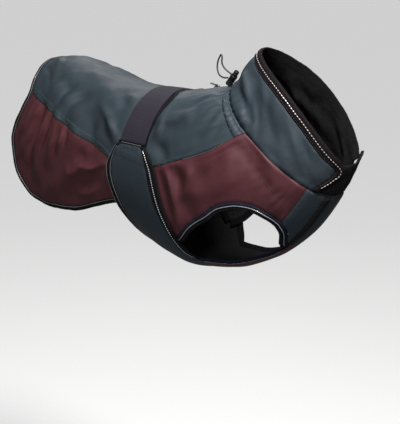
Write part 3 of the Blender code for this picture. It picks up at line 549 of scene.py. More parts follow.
def gathers(station, angle):
    """Short folds that fan out from the drawn-in casing, both ways."""
    angle = wrapped(angle)
    girth = angle * GIRTH_MM_PER_DEGREE
    drift = 6 * GATHER_DRIFT(girth, station * 0.6)
    wide, narrow = (2 * math.pi / size for size in GATHER_LENGTHS)
    folds = np.sin(wide * (girth + drift)) + 0.6 * np.sin(narrow * (girth - drift) + 1)
    rear = np.exp(-((np.clip(CASING_REAR - station, 0, None) / GATHER_REACH) ** 1.5))
    front = np.exp(-((np.clip(station - NECK_SEAM, 0, None) / (1.4 * GATHER_REACH)) ** 1.5))
    strength = rear * front * smoothstep(96, 70, np.abs(angle))
    casing = smoothstep(CASING_REAR - 1, CASING_REAR + 1, station)
    casing = casing * smoothstep(NECK_SEAM + 1, NECK_SEAM - 1, station)
    return strength * (GATHER_STRENGTHS[0] - GATHER_STRENGTHS[1] * casing) * folds


def neck_roll(station, angle):
    """The soft roll of the casing and the collar's swell in front of the tight neck seam."""
    angle = np.abs(wrapped(angle))
    return sum(height * bell(station, middle, width) * smoothstep(start, full, angle)
               for middle, width, height, start, full in NECK_FORMS)


def at_angle(course, angle):
    """A course's station at an angle."""
    return np.interp(angle, [a for _, a in course], [s for s, _ in course])


def facing_pucker(station, angle):
    """The puckered line on the side panels where the neck's facing is sewn through, behind the neck seam."""
    angle = np.abs(wrapped(angle))
    ripple = 0.5 * bell(station, FACING_STATION, 4.5) * PUCKER(angle * GIRTH_MM_PER_DEGREE, station)
    sewn = smoothstep(79, 84, angle) * smoothstep(137, 131, angle)
    return sewn * (ripple - 1.3 * bell(station, FACING_STATION, 1.7))


def strap_hold(station, angle):
    """1 under the taut strap, fading to 0 beside it."""
    angle = np.abs(wrapped(angle))
    away = np.abs(station - at_angle(STRAP_CENTRE, angle))
    return smoothstep(STRAP_WIDTH / 2 + 3, STRAP_WIDTH / 2 - 2, away) * smoothstep(86, 78, angle)


def strap_gap(station, angle):
    """The hollow in front of the taut strap, and the swell in front of that."""
    angle = np.abs(wrapped(angle))
    ahead = station - at_angle(STRAP_CENTRE, angle) - STRAP_WIDTH / 2
    hollow = STRAP_SWELL * bell(ahead, 14, 6.0) - STRAP_GAP * bell(ahead, 3.5, 4.2)
    return hollow * smoothstep(5, 16, angle) * smoothstep(64, 46, angle)


def flap_hold(station, angle):
    """1 under the taut flap, fading to 0 beside it."""
    angle = np.abs(wrapped(angle))
    behind = station - at_angle(FLAP_REAR, angle)
    ahead = station - at_angle(FLAP_FRONT_OUTER, angle)
    return smoothstep(-9, 1, behind) * smoothstep(6, -1, ahead) * smoothstep(70, 77, angle)


def relief(station, angle):
    """How far the cloth stands off the smooth form, in millimetres."""
    girth = wrapped(angle) * GIRTH_MM_PER_DEGREE
    near_zip = np.exp(-((wrapped(angle) / CALM_HALF_ANGLE) ** 4)) * smoothstep(20, 32, station)
    calm = 1 - near_zip * smoothstep(142, 136, station)
    strapped, held = strap_hold(station, angle), flap_hold(station, angle)
    still = np.maximum(0.75 * strapped, 0.85 * held)
    loose = fine_creases(station, angle) + 0.45 * UNEVEN(station, girth) + 0.07 * CRINKLE(station, girth)
    loose = loose + gathers(station, angle) + neck_roll(station, angle) + facing_pucker(station, angle)
    loose = loose + strap_gap(station, angle) * (1 - strapped)
    return main_folds(station, angle) * (1 - 0.6 * still) + calm * (1 - still) * loose - STRAP_DENT * strapped


def place(places, height):
    """Points at a height over the relief, in millimetres, for (station, angle) places."""
    station, angle = np.moveaxis(np.asarray(places, float), -1, 0)
    return body_form(station, angle) + (relief(station, angle) + height)[..., None] * outward(station, angle)


# ---- Finer grids ---------------------------------------------------------------------------------

FINE = 5                 # cells of cloth for each cell of the solids, each way


def finer(count):
    """A number of points along an edge, with FINE cells in each of the solids' cells."""
    return (count - 1) * FINE + 1


def refined(points):
    """A short-stepped polyline: FINE steps for each given one, on a smooth curve."""
    points = np.asarray(points, float)
    run = lengths_along(points)
    at = np.concatenate([np.linspace(a, b, FINE, endpoint=False) for a, b in zip(run, run[1:])] + [run[-1:]])
    return smooth_through(run, points, at)


def spaced(points, spacing):
    """A course of (station, angle) places, evenly spaced in millimetres over the form."""
    points = np.asarray(points, float)
    run = lengths_along(body_form(*points.T))
    at = np.linspace(0, run[-1], max(int(run[-1] / spacing), 2) + 1)
    return np.stack([np.interp(at, run, each) for each in points.T], axis=1)


def nearest_of(points, line):
    """How far each point is from a polyline's points, and the nearest of those."""
    flat = points.reshape(-1, 3)
    best, index = np.full(len(flat), np.inf), np.zeros(len(flat), int)
    chunk = 200
    for start in range(0, len(line), chunk):
        apart = np.linalg.norm(flat[:, None] - line[None, start:start + chunk], axis=-1)
        lowest = apart.min(axis=1)
        closer = lowest < best
        best[closer] = lowest[closer]
        index[closer] = apart.argmin(axis=1)[closer] + start
    return best.reshape(points.shape[:-1]), line[index.reshape(points.shape[:-1])]


# ---- Materials -----------------------------------------------------------------------------------

WAVE_SCALE = 0.159       # of a wave texture, for each rib that a tape's across or along counts


def tint(colour, share):
    return tuple(channel * share for channel in colour)


class Nodes:
    """A material's node tree, wired by name."""

    def __init__(self, name, base, roughness, **settings):
        self.material = bpy.data.materials.new(name)
        self.material.use_nodes = True
        self.tree = self.material.node_tree
        self.shader = self.tree.nodes["Principled BSDF"]
        for key, value in {"Base_Color": (*base, 1), "Roughness": roughness, **settings}.items():
            self.shader.inputs[key.replace("_", " ")].default_value = value
        self.material.diffuse_color = (*base, 1)
        self.base = base
        self.bumps = None

    def add(self, kind, inputs=None, **settings):
        node = self.tree.nodes.new(kind)
        for key, value in settings.items():
            setattr(node, key, value)
        for key, value in (inputs or {}).items():
            if isinstance(value, bpy.types.NodeSocket):
                self.tree.links.new(value, node.inputs[key])
            else:
                node.inputs[key].default_value = value
        return node

    def feed(self, socket, value):
        self.tree.links.new(value, self.shader.inputs[socket])

    def run(self, along=1.0):
        """The piece's own (u, v) in metres, its u times a scale."""
        uv = self.add("ShaderNodeUVMap").outputs["UV"]
        return self.add("ShaderNodeMapping", {"Vector": uv, "Scale": (along, 1, 1)}).outputs["Vector"]

    def noise(self, scale, detail=3.0, roughness=0.55):
        here = self.add("ShaderNodeTexCoord").outputs["Object"]
        settings = {"Vector": here, "Scale": scale, "Detail": detail, "Roughness": roughness}
        return self.add("ShaderNodeTexNoise", settings).outputs["Fac"]

    def bands(self, direction, scale):
        settings = {"Vector": self.run(), "Scale": scale}
        kind = {"wave_type": "BANDS", "bands_direction": direction}
        return self.add("ShaderNodeTexWave", settings, **kind).outputs["Fac"]

    def math(self, operation, *values):
        return self.add("ShaderNodeMath", dict(enumerate(values)), operation=operation).outputs[0]

    def weighed(self, first, share, second):
        return self.math("ADD", self.math("MULTIPLY", first, share), self.math("MULTIPLY", second, 1 - share))

    def roughen(self, scale, low, high):
        """Roughness between two values, in noise of a scale."""
        inputs = {"Value": self.noise(scale), "To Min": low, "To Max": high}
        self.feed("Roughness", self.add("ShaderNodeMapRange", inputs).outputs["Result"])

    def paint(self, value, stops):
        """The colour that each stop (where, colour) gives a 0 to 1 value."""
        node = self.add("ShaderNodeValToRGB", {"Fac": value})
        while len(node.color_ramp.elements) < len(stops):
            node.color_ramp.elements.new(0.5)
        for element, (where, colour) in zip(node.color_ramp.elements, stops):
            element.position = where
            element.color = (*colour, 1)
        self.feed("Base Color", node.outputs["Color"])

    def shade(self, value, *stops):
        """The base colour times the share that each stop (where, share) gives a 0 to 1 value."""
        self.paint(value, [(where, tint(self.base, share)) for where, share in stops])

    def bump(self, height, strength, distance):
        inputs = {"Height": height, "Strength": strength, "Distance": distance}
        if self.bumps:
            inputs["Normal"] = self.bumps
        self.bumps = self.add("ShaderNodeBump", inputs).outputs["Normal"]
        self.feed("Normal", self.bumps)


def cloth_material(name, colour, roughness=0.56):
    """Close plain weave with a faint sheen, uneven in tone."""
    made = Nodes(name, colour, roughness, Specular_IOR_Level=0.22)
    made.shade(made.weighed(made.noise(14, 4), 0.75, made.noise(420, 2)), (0.3, 0.86), (0.5, 1), (0.72, 1.17))
    made.roughen(60, roughness - 0.07, roughness + 0.07)
    made.bump(made.noise(90, 4, 0.6), 0.35, 0.0006)
    made.bump(made.math("MULTIPLY", made.bands("X", 420), made.bands("Y", 420)), 0.22, 0.00012)
    return made.material


def fleece_material(name, colour):
    """Short brushed pile."""
    made = Nodes(name, colour, 0.95, Specular_IOR_Level=0.1)
    pile = made.noise(900, 4, 0.7)
    made.shade(pile, (0.32, 0.5), (0.68, 1.6))
    made.bump(made.noise(160), 0.5, 0.0008)
    made.bump(pile, 0.7, 0.0005)
    return made.material


def ribbed_material(name, colour, across, along, depth=0.00025, roughness=0.75, contrast=0.35):
    """Woven tape: ribs across or along it."""
    made = Nodes(name, colour, roughness, Specular_IOR_Level=0.08)
    ribs = made.weighed(made.bands("X", across * WAVE_SCALE), 0.5, made.bands("Y", along * WAVE_SCALE))
    made.shade(made.weighed(ribs, 0.6, made.noise(120)), (0.25, 1 - contrast), (0.75, 1 + contrast))
    made.bump(ribs, 0.6, depth)
    return made.material


def piping_material(name, light, dark, pitch, share):
    """Reflective piping, crossed by dark thread at a pitch in metres."""
    made = Nodes(name, light, 0.32, Metallic=0.35, Specular_IOR_Level=0.6)
    run = made.add("ShaderNodeSeparateXYZ", {"Vector": made.run(1 / pitch)}).outputs["X"]
    step = made.math("ABSOLUTE", made.math("SUBTRACT", made.math("FRACT", run), 0.5))
    soft = 0.12
    made.paint(made.math("MULTIPLY", step, 2.0), (
        (0.0, light), (max(share - soft, 0.01), light), (min(share + soft, 0.99), dark), (1.0, dark)))
    made.bump(made.noise(900, 2), 0.3, 0.0001)
    return made.material


def plain_material(name, colour, roughness, bump=0.0002, scale=600, **settings):
    made = Nodes(name, colour, roughness, **settings)
    made.roughen(scale * 0.2, roughness - 0.06, roughness + 0.08)
    made.shade(made.noise(scale * 0.3), (0.3, 0.8), (0.7, 1.25))
    made.bump(made.noise(scale), 0.4, bump)
    return made.material


SLATE = cloth_material("slate_softshell", (0.0180, 0.0262, 0.0335))
SLATE_BAND = cloth_material("slate_felled_band", (0.0165, 0.0262, 0.0312))
BURGUNDY = cloth_material("burgundy_softshell", (0.0540, 0.0145, 0.0180))
FLEECE = fleece_material("black_fleece", (0.010, 0.010, 0.011))
PILE = fleece_material("hook_pile_tape", (0.012, 0.012, 0.013))
BLACK_TAPE = ribbed_material("black_binding", (0.0050, 0.0050, 0.0062), 900, 0)
RIM_TAPE = ribbed_material("rim_binding", (0.0070, 0.0048, 0.0058), 900, 0)
NAVY_TAPE = ribbed_material("navy_binding", (0.0065, 0.0080, 0.0185), 900, 0)
ELASTIC = ribbed_material("ribbed_elastic", (0.0185, 0.0165, 0.0235), 300, 1100, 0.00006, 0.7, 0.06)
SILVER_LINE = piping_material("silver_piping", (0.27, 0.27, 0.29), (0.07, 0.07, 0.08), 0.0022, 0.78)
# This fine silver also draws light lines that are painted highlights: along the front seam's edge and on the
# flap's rear binding's outer edge.
FINE_PIPING_AND_HIGHLIGHT = piping_material("silver_edge_piping_and_highlight", (0.17, 0.17, 0.18), (0.06, 0.06, 0.07), 0.0022, 0.85)
SILVER_DOTS = piping_material("silver_dotted_piping", (0.50, 0.50, 0.50), (0.02, 0.02, 0.02), 0.0036, 0.52)
RIM_DOTS = piping_material("rim_dotted_piping", (0.46, 0.42, 0.42), (0.025, 0.016, 0.016), 0.0048, 0.46)
THREAD_BLACK = plain_material("black_thread", (0.010, 0.010, 0.012), 0.6)
THREAD_SLATE = plain_material("slate_thread", (0.012, 0.018, 0.022), 0.6)
THREAD_WINE = plain_material("burgundy_thread", (0.022, 0.008, 0.010), 0.6)
ZIP_EDGE = plain_material("zip_edge_cord", (0.26, 0.20, 0.17), 0.6)
PLASTIC = plain_material(
    "moulded_black_plastic", (0.006, 0.006, 0.007), 0.42, 0.00008, 300, Specular_IOR_Level=0.25)
DARK_METAL = plain_material("dark_enamelled_metal", (0.16, 0.16, 0.17), 0.3, 0.00006, 300, Metallic=0.9)
CORD_MATERIAL = plain_material("black_elastic_cord", (0.011, 0.011, 0.013), 0.55, 0.0003, 1400)
BLACK = (BLACK_TAPE, BLACK_TAPE)

PIPINGS = {
    # where it runs: its height, half width and half height, in millimetres, and its material
    "hem": (BINDING_OUTER - 0.25, 0.55, 0.5, FINE_PIPING_AND_HIGHLIGHT),
    "armhole": (BINDING_OUTER + 0.15, 0.75, 0.65, SILVER_LINE),
    "under chest": (BINDING_OUTER - 0.2, 0.55, 0.5, SILVER_LINE),
    # flap rear: the outer line is a painted highlight of the binding's rounded outer edge, the inner line is
    # piping
    "flap rear": (FLAP_BINDING_OUTER - 0.2, 0.5, 0.45, FINE_PIPING_AND_HIGHLIGHT),
    "flap front": (FLAP_BINDING_OUTER + 0.1, 0.8, 0.65, SILVER_DOTS),
    "flap top": (FLAP_BINDING_OUTER - 0.4, 0.45, 0.4, FINE_PIPING_AND_HIGHLIGHT),
    "collar": (BINDING_OUTER + 0.5, 0.7, 0.65, RIM_DOTS),
    # seam: a thin light line along the front seam, a painted highlight of the seam's edge
    "seam": (SHELL - 0.35, 0.4, 0.45, FINE_PIPING_AND_HIGHLIGHT),
    "zip near": (SHELL - 0.5, 0.5, 0.55, ZIP_EDGE),
    "zip far": (SHELL - 0.5, 0.5, 0.55, THREAD_SLATE),
}


# ---- Meshes --------------------------------------------------------------------------------------

EDGE_GAP = 0.08          # how far a cloth's edge is drawn in from its neighbour's, in millimetres
PUCKER_REACH = 5.0       # how far from a sewn edge its puckers reach


def linked(name, data):
    item = bpy.data.objects.new(name, data)
    bpy.context.collection.objects.link(item)
    return item


def add_mesh(name, points, faces, uvs, materials, material_index=None, replaces=()):
    """A mesh from points in millimetres, riding the coat."""
    data = bpy.data.meshes.new(name)
    data.from_pydata((np.asarray(points) * MM).tolist(), [], [list(map(int, face)) for face in faces])
    layer = data.uv_layers.new(name="run")
    loops = np.empty(len(data.loops), int)
    data.loops.foreach_get("vertex_index", loops)
    layer.data.foreach_set("uv", (np.asarray(uvs)[loops] * MM).ravel())
    for material in materials:
        data.materials.append(material)
    if material_index is not None:
        data.polygons.foreach_set("material_index", np.asarray(material_index, int))
    data.shade_smooth()
    data.set_sharp_from_angle(angle=math.radians(60))
    data.update()
    item = linked(name, data)
    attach(item, "coat")
    if replaces:
        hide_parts(*replaces)
    return item


def ring_faces(base, rings, sides):
    """Faces between rings of points that follow each other from a first point on, and a cap on each end."""
    faces = [tuple(range(base + sides - 1, base - 1, -1))]
    for ring in range(base, base + (rings - 1) * sides, sides):
        faces += [(ring + k, ring + (k + 1) % sides, ring + (k + 1) % sides + sides, ring + k + sides)
                  for k in range(sides)]
    last = base + (rings - 1) * sides
    return faces + [tuple(range(last, last + sides))]


def turned_over(faces):
    return [face[::-1] for face in faces]


def drawn_in(points):
    """The grid's outline drawn in by the edge gap, square to each edge."""
    moved = points.copy()
    for border, inside in ((np.s_[0], np.s_[1]), (np.s_[-1], np.s_[-2]), (np.s_[:, 0], np.s_[:, 1]),
                           (np.s_[:, -1], np.s_[:, -2])):
        course = unit(np.gradient(points[border], axis=0))
        inwards = points[inside] - points[border]
        inwards -= (inwards * course).sum(axis=-1, keepdims=True) * course
        moved[border] += EDGE_GAP * unit(inwards)
    return moved


def cloth(name, grid, inner, outer, faces, replaces=(), hole=None, rounding=0.75, width=1.5, pucker=0.3,
          extra=0.0):
    """A cloth wall between two heights over a grid of places, rounded down to its edges and puckered along
    them. faces are the materials of its outer and inner side. hole is a mask of cells that are left out."""
    middle = place(grid, 0)
    flat = middle.reshape(-1, 3)
    edge = np.concatenate([grid[0], grid[1:-1, -1], grid[-1][::-1], grid[1:-1, 0][::-1]])
    away, spot = nearest_of(middle, place(edge, 0))
    ripple = PUCKER(spot[..., 0] + 0.7 * spot[..., 1], spot[..., 2] + 0.5 * spot[..., 1])
    shape = pucker * ripple * bell(away, 0, PUCKER_REACH) - rounding * bell(away, 0, width) + extra
    upper = drawn_in(place(grid, outer + np.maximum(shape, inner - outer + 0.25)))
    lower = drawn_in(place(grid, inner))
    rows, columns = grid.shape[:2]
    count = rows * columns
    index = np.arange(count).reshape(rows, columns)
    cells = np.stack([index[:-1, :-1], index[1:, :-1], index[1:, 1:], index[:-1, 1:]], axis=-1)
    cells = cells.reshape(-1, 4) if hole is None else cells[~hole]
    corner = flat[cells[:, 0]]
    normal = np.cross(flat[cells[:, 1]] - corner, flat[cells[:, 3]] - corner)
    if (normal * outward(*grid.reshape(-1, 2).T)[cells[:, 0]]).sum() < 0:
        cells = cells[:, ::-1]
    ends = np.stack([cells, np.roll(cells, -1, axis=1)], axis=-1).reshape(-1, 2).tolist()
    known = {tuple(pair) for pair in ends}
    start, end = np.array([pair for pair in ends if (pair[1], pair[0]) not in known]).T
    rim = np.stack([end, start, start + count, end + count], axis=1)
    faces_all = np.concatenate([cells, cells[:, ::-1] + count, rim])
    slot = np.concatenate([np.zeros(len(cells)), np.ones(len(cells)), np.zeros(len(rim))])
    steps = [np.cumsum(np.linalg.norm(np.diff(middle, axis=k), axis=-1), k) for k in (0, 1)]
    along = np.pad(steps[0], ((1, 0), (0, 0)))
    across = np.pad(steps[1], ((0, 0), (1, 0)))
    uv = np.stack([along, across], axis=-1).reshape(-1, 2)
    points = np.concatenate([upper.reshape(-1, 3), lower.reshape(-1, 3)])
    used, renumbered = np.unique(faces_all, return_inverse=True)
    renumbered = renumbered.reshape(-1, 4)
    return add_mesh(name, points[used], renumbered, np.concatenate([uv, uv])[used], faces, slot, replaces)


SHEETS = []              # each cloth panel: its piece, its grid, how it is held, and what lies on it


def panel(name, grid, faces, node, held="draped", on_it=(), inner=0, outer=SHELL, **edges):
    """The cloth wall of a panel that stands for a node, and is a sheet."""
    SHEETS.append((cloth(name, grid, inner, outer, faces, (node,), **edges), grid, held, on_it))


def course_frames(points, height):
    """Points on a course at a height, with the unit tangent, outward and sideways directions at each."""
    centre = place(points, height)
    tangent = unit(np.gradient(centre, axis=0))
    up = outward(*points.T)
    up = unit(up - (up * tangent).sum(axis=1, keepdims=True) * tangent)
    return centre, tangent, up, np.cross(tangent, up)


def tube(name, points, height, half_width, half_height, material, sides=8, lift=None):
    """An oval tube that lies on the cloth along a course, with rounded ends."""
    points = spaced(points, 1.8)
    centre, _, up, aside = course_frames(points, height + (lift(points) if lift else 0))
    turn = np.linspace(0, 2 * math.pi, sides, endpoint=False)
    taper = np.ones((len(points), 1, 1))
    taper[0] = taper[-1] = 0.45
    ring = (np.cos(turn)[None, :, None] * aside[:, None] * half_width
            + np.sin(turn)[None, :, None] * up[:, None] * half_height) * taper
    verts = (centre[:, None] + ring).reshape(-1, 3)
    uv = np.stack([np.repeat(lengths_along(centre), sides), np.tile(turn, len(points))], axis=1)
    return add_mesh(name, verts, turned_over(ring_faces(0, len(points), sides)), uv, [material])


STITCH_PITCH, STITCH_LENGTH, STITCH_HALF, STITCH_SIDES = 3.4, 2.5, 0.28, 6
STITCH_RINGS = ((-0.5, -0.7, 0.5), (-0.32, 0.1, 1.0), (0.32, 0.1, 1.0), (0.5, -0.7, 0.5))


def stitches(name, courses, height, material, lift=None):
    """A row of stitches along each course: short threads that dip into the cloth at both ends."""
    verts, faces, uvs = [], [], []
    turn = np.linspace(0, 2 * math.pi, STITCH_SIDES, endpoint=False)
    for course in courses:
        points = spaced(course, STITCH_PITCH)[1:-1]
        for c, t, u, s in zip(*course_frames(points, height + (lift(points) if lift else 0))):
            faces += turned_over(ring_faces(len(verts), len(STITCH_RINGS), STITCH_SIDES))
            for along, dip, thick in STITCH_RINGS:
                middle = c + t * along * STITCH_LENGTH + u * dip * STITCH_HALF
                for angle in turn:
                    verts.append(middle + (s * math.cos(angle) + u * math.sin(angle)) * STITCH_HALF * thick)
                    uvs.append((along, angle))
    return add_mesh(name, verts, faces, uvs, [material])


# ---- Edges and grids of the panels ---------------------------------------------------------------

CLOSING_END_ANGLE = 142                # where the closing end starts at the neck seam, behind the near end
CHEST_ANGLE = ARMHOLE_CHEST[0][1] - 1  # where the chest's seam meets the neck seam
CLOSURE_REAR, CLOSURE_FRONT, MIDLINE = CHEST_BOTTOM
CLOSURE_LEFT, CLOSURE_RIGHT = ((NECK_SEAM, bottom[1]) for bottom in (CLOSURE_REAR, CLOSURE_FRONT))
CASING_END = (CASING_REAR, CASING_REAR_ANGLE)
FLAP_SIDE = (SEAM_REAR[-1], HEM_LOWER[-1])
SIDE_ROWS, CHEST_ROWS = finer(10), finer(7)
REAR_STATIONS = np.linspace(SEAM_REAR[0][0], 0, finer(20))
FRONT_STATIONS = np.linspace(0, CASING_REAR, finer(13))
SEAM_REAR_EDGE = edge_at_stations(SEAM_REAR, REAR_STATIONS)
SEAM_FRONT_EDGE = edge_at_stations(SEAM_FRONT, FRONT_STATIONS)
WHOLE_SEAM = join(SEAM_REAR_EDGE, SEAM_FRONT_EDGE)
MIDDLE_SHARE = ZIP_HALF_ANGLE / CASING_REAR_ANGLE
BESIDE_SLOT = (0.108, 0.087, 0.067, 0.05, 0.037, 0.028)
BACK_SHARES = np.concatenate([np.linspace(1, 0.13, finer(8)), BESIDE_SLOT, [MIDDLE_SHARE]])
HEM_TAIL_EDGE, HEM_SIDE_EDGE, HEM_LOWER_EDGE = edge_parts(
    HEM_TAIL + HEM_SIDE[1:] + HEM_LOWER[1:], (3, 8), (60, SIDE_ROWS, len(SEAM_REAR_EDGE)))
HEM_FRONT_EDGE = smooth_edge(HEM_UNDER_FLAP, finer(4))
ARMHOLE_EDGE = smooth_edge(ARMHOLE_TOP, finer(18))
ARMHOLE_CHEST_EDGE = smooth_edge(ARMHOLE_CHEST, finer(4))
CHEST_SEAM = straight((NECK_SEAM, CHEST_ANGLE), ARMHOLE_CHEST[0], CHEST_ROWS)


def tail_hem():
    """The back panel's hem on one side, from its seam to beside the midline."""
    angles = BACK_SHARES * HEM_TAIL[-1][1]
    return np.stack([np.interp(angles, HEM_TAIL_EDGE[:, 1], HEM_TAIL_EDGE[:, 0]), angles], axis=1)


def flap_middle():
    """The seam between the flap and the strip in front of it."""
    corner, start, end = FLAP_FRONT_MIDDLE
    return with_far_half(join(straight(corner, start, finer(2)), straight(start, end, finer(4))))


def flap_lift(grid):
    """How much higher than over the side panels the flap lies, in millimetres."""
    station, angle = grid[..., 0], np.abs(wrapped(grid[..., 1]))
    over_strap = STRAP_LIFT * (1 - ramp(angle, STRAP_LIFT_ANGLES))
    return over_strap - FLAP_INNER * ramp(station, FLAP_DOWN_STATIONS) * ramp(angle, FLAP_DOWN_ANGLES)


def slot_angle(stations):
    """Half the zip's slot, in degrees, at stations."""
    return edge_at_stations(SEAM_FRONT_EDGE, stations)[:, 1] * MIDDLE_SHARE


def back_panel():
    share = np.concatenate([BACK_SHARES, -BACK_SHARES[::-1]])
    rear = np.concatenate([tail_hem(), far(tail_hem()[::-1])])
    front = np.stack([np.full(len(share), CASING_REAR), share * CASING_REAR_ANGLE], axis=1)
    grid = patch(WHOLE_SEAM, far(WHOLE_SEAM), rear, front)
    middle = len(BACK_SHARES) - 1
    stations = (grid[:-1, middle, 0] + grid[1:, middle, 0]) / 2
    hole = np.zeros((grid.shape[0] - 1, grid.shape[1] - 1), bool)
    hole[:, middle] = (stations > ZIP_REAR) & (stations < ZIP_FRONT)
    panel("back_cloth", grid, (SLATE, FLEECE), "back_panel", hole=hole)


def side_panels(turn, label):
    rear = patch(SEAM_REAR_EDGE, HEM_LOWER_EDGE, HEM_SIDE_EDGE, straight(*FLAP_SIDE, SIDE_ROWS))
    panel("rear_side_cloth_" + label, turn(rear), (BURGUNDY, FLEECE), "side_rear_" + label)
    casing_end = straight(CASING_END, (NECK_SEAM, CASING_FRONT_ANGLE), finer(2))
    top = join(SEAM_FRONT_EDGE, casing_end, straight(casing_end[-1], CHEST_SEAM[0], finer(8)))
    front = patch(top, join(HEM_FRONT_EDGE, ARMHOLE_EDGE), straight(*FLAP_SIDE, CHEST_ROWS), CHEST_SEAM)
    panel("front_side_cloth_" + label, turn(front), (BURGUNDY, FLEECE), "side_front_" + label)


def chest():
    """The chest's panels and the closure between them. Gives the chest's front edge under the closure."""
    left = straight(CLOSURE_LEFT, CLOSURE_REAR, CHEST_ROWS)
    right = straight(CLOSURE_RIGHT, CLOSURE_FRONT, CHEST_ROWS)
    near = patch(straight(CHEST_SEAM[0], CLOSURE_LEFT, finer(4)), ARMHOLE_CHEST_EDGE, CHEST_SEAM, left)
    panel("chest_cloth_near", near, (SLATE, FLEECE), "chest_near")
    closure_bottom = straight(CLOSURE_REAR, CLOSURE_FRONT, finer(2))
    strip = patch(straight(CLOSURE_LEFT, CLOSURE_RIGHT, finer(2)), closure_bottom, left, right)
    closure = cloth("closure_tape", strip, 0, CLOSURE_OUTER, (PILE, FLEECE), ("chest_closure",), rounding=1.2)
    strip_front = with_far_half(straight(CLOSURE_FRONT, MIDLINE, finer(5)))
    bottom = join(strip_front, far_half(join(ARMHOLE_CHEST_EDGE, closure_bottom))[::-1])
    top_end, bottom_end = far_half(CHEST_SEAM)[[0, -1]]
    grid = patch(straight(CLOSURE_RIGHT, top_end, len(bottom)), bottom, right,
                 straight(top_end, bottom_end, CHEST_ROWS))
    panel("chest_cloth_far", grid, (SLATE, FLEECE), "chest_far", on_it=(closure,))
    return strip_front


def bound(name, first, second, inner, outer, materials, node, rows=9, split=None, lift=None, rounding=1.5):
    """A binding between two edges: a rounded tape with a ripple along it. split is the share across it at
    which its second outer material starts."""
    grid = ribbon(first, second, rows)
    across = np.linspace(-1, 1, rows + 1)[None]
    x, y, z = np.moveaxis(place(grid, 0), -1, 0)
    extra = 0.35 * (1 - across**2) - 0.25 + (0.14 * PUCKER(x + y, z) + 0.12 * UNEVEN(x * 2, z * 2))
    lift = 0 if lift is None else lift(grid)
    made = cloth(name, grid, inner + lift, outer + lift, materials[:2], (node,), rounding=rounding, width=1.4,
                 pucker=0.12, extra=extra)
    if split is not None:
        made.data.materials.append(materials[2])
        columns = np.tile(np.arange(rows), len(grid) - 1)
        for k in np.flatnonzero(columns + 0.5 > split * rows):
            made.data.polygons[int(k)].material_index = 2
    return made


def hem():
    near = join(tail_hem()[::-1], HEM_SIDE_EDGE, HEM_LOWER_EDGE, HEM_FRONT_EDGE)
    course = spaced(np.concatenate([far(near[::-1]), near]), 2.4)
    bound("hem_tape", course, shifted(course, HEM_BINDING_WIDTH), BINDING_INNER, BINDING_OUTER, BLACK,
          "hem_binding")
    tube("hem_piping", shifted(course, 1.3)[2:-2], *PIPINGS["hem"])
    lines = [shifted(course, away)[4:-4] for away in (3.1, 7.0)]
    stitches("hem_stitches", lines, BINDING_OUTER - 0.12, THREAD_BLACK)


def armhole(turn, label):
    course = join(ARMHOLE_EDGE, ARMHOLE_CHEST_EDGE, straight(CLOSURE_REAR, CLOSURE_FRONT, finer(2)))
    inner = shifted(course, ARMHOLE_BINDING_WIDTH)
    inner[-1] = STRIP_CORNER
    bound("armhole_tape_" + label, turn(course), turn(inner), BINDING_INNER, BINDING_OUTER,
          (NAVY_TAPE, BLACK_TAPE, BLACK_TAPE), "armhole_binding_" + label, rows=10, split=0.5)
    tube("armhole_piping_" + label, turn(between(course, inner, 0.45, 4)), *PIPINGS["armhole"])
    lines = [turn(between(course, inner, share, 4)) for share in (0.14, 0.8)]
    stitches("armhole_stitches_" + label, lines, BINDING_OUTER - 0.1, THREAD_BLACK)


def under_chest(strip_front):
    edge = smooth_edge(STRIP_EDGE, finer(9))
    panel("under_chest_cloth", patch(edge, far_half(edge), flap_middle(), strip_front), (BURGUNDY, FLEECE),
          "under_chest")
    outer = shifted(edge, -HEM_BINDING_WIDTH)
    outer[0], outer[-1] = FLAP_FRONT_OUTER[-1], STRIP_CORNER
    for turn, label in BOTH_HALVES:
        bound("under_chest_tape_" + label, turn(edge), turn(outer), BINDING_INNER, BINDING_OUTER,
              (NAVY_TAPE, BLACK_TAPE), "under_chest_binding_" + label)
        tube("under_chest_piping_" + label, turn(between(edge, outer, 0.2, 3)), *PIPINGS["under chest"])


def rear_binding_width(course):
    """The binding behind the flap is narrow at the flap's top corners and full in width below them."""
    angle = 180 - np.abs(180 - course[:, 1])
    return np.interp(angle, FLAP_REAR_WIDTH_ANGLES, FLAP_REAR_WIDTHS)[:, None]


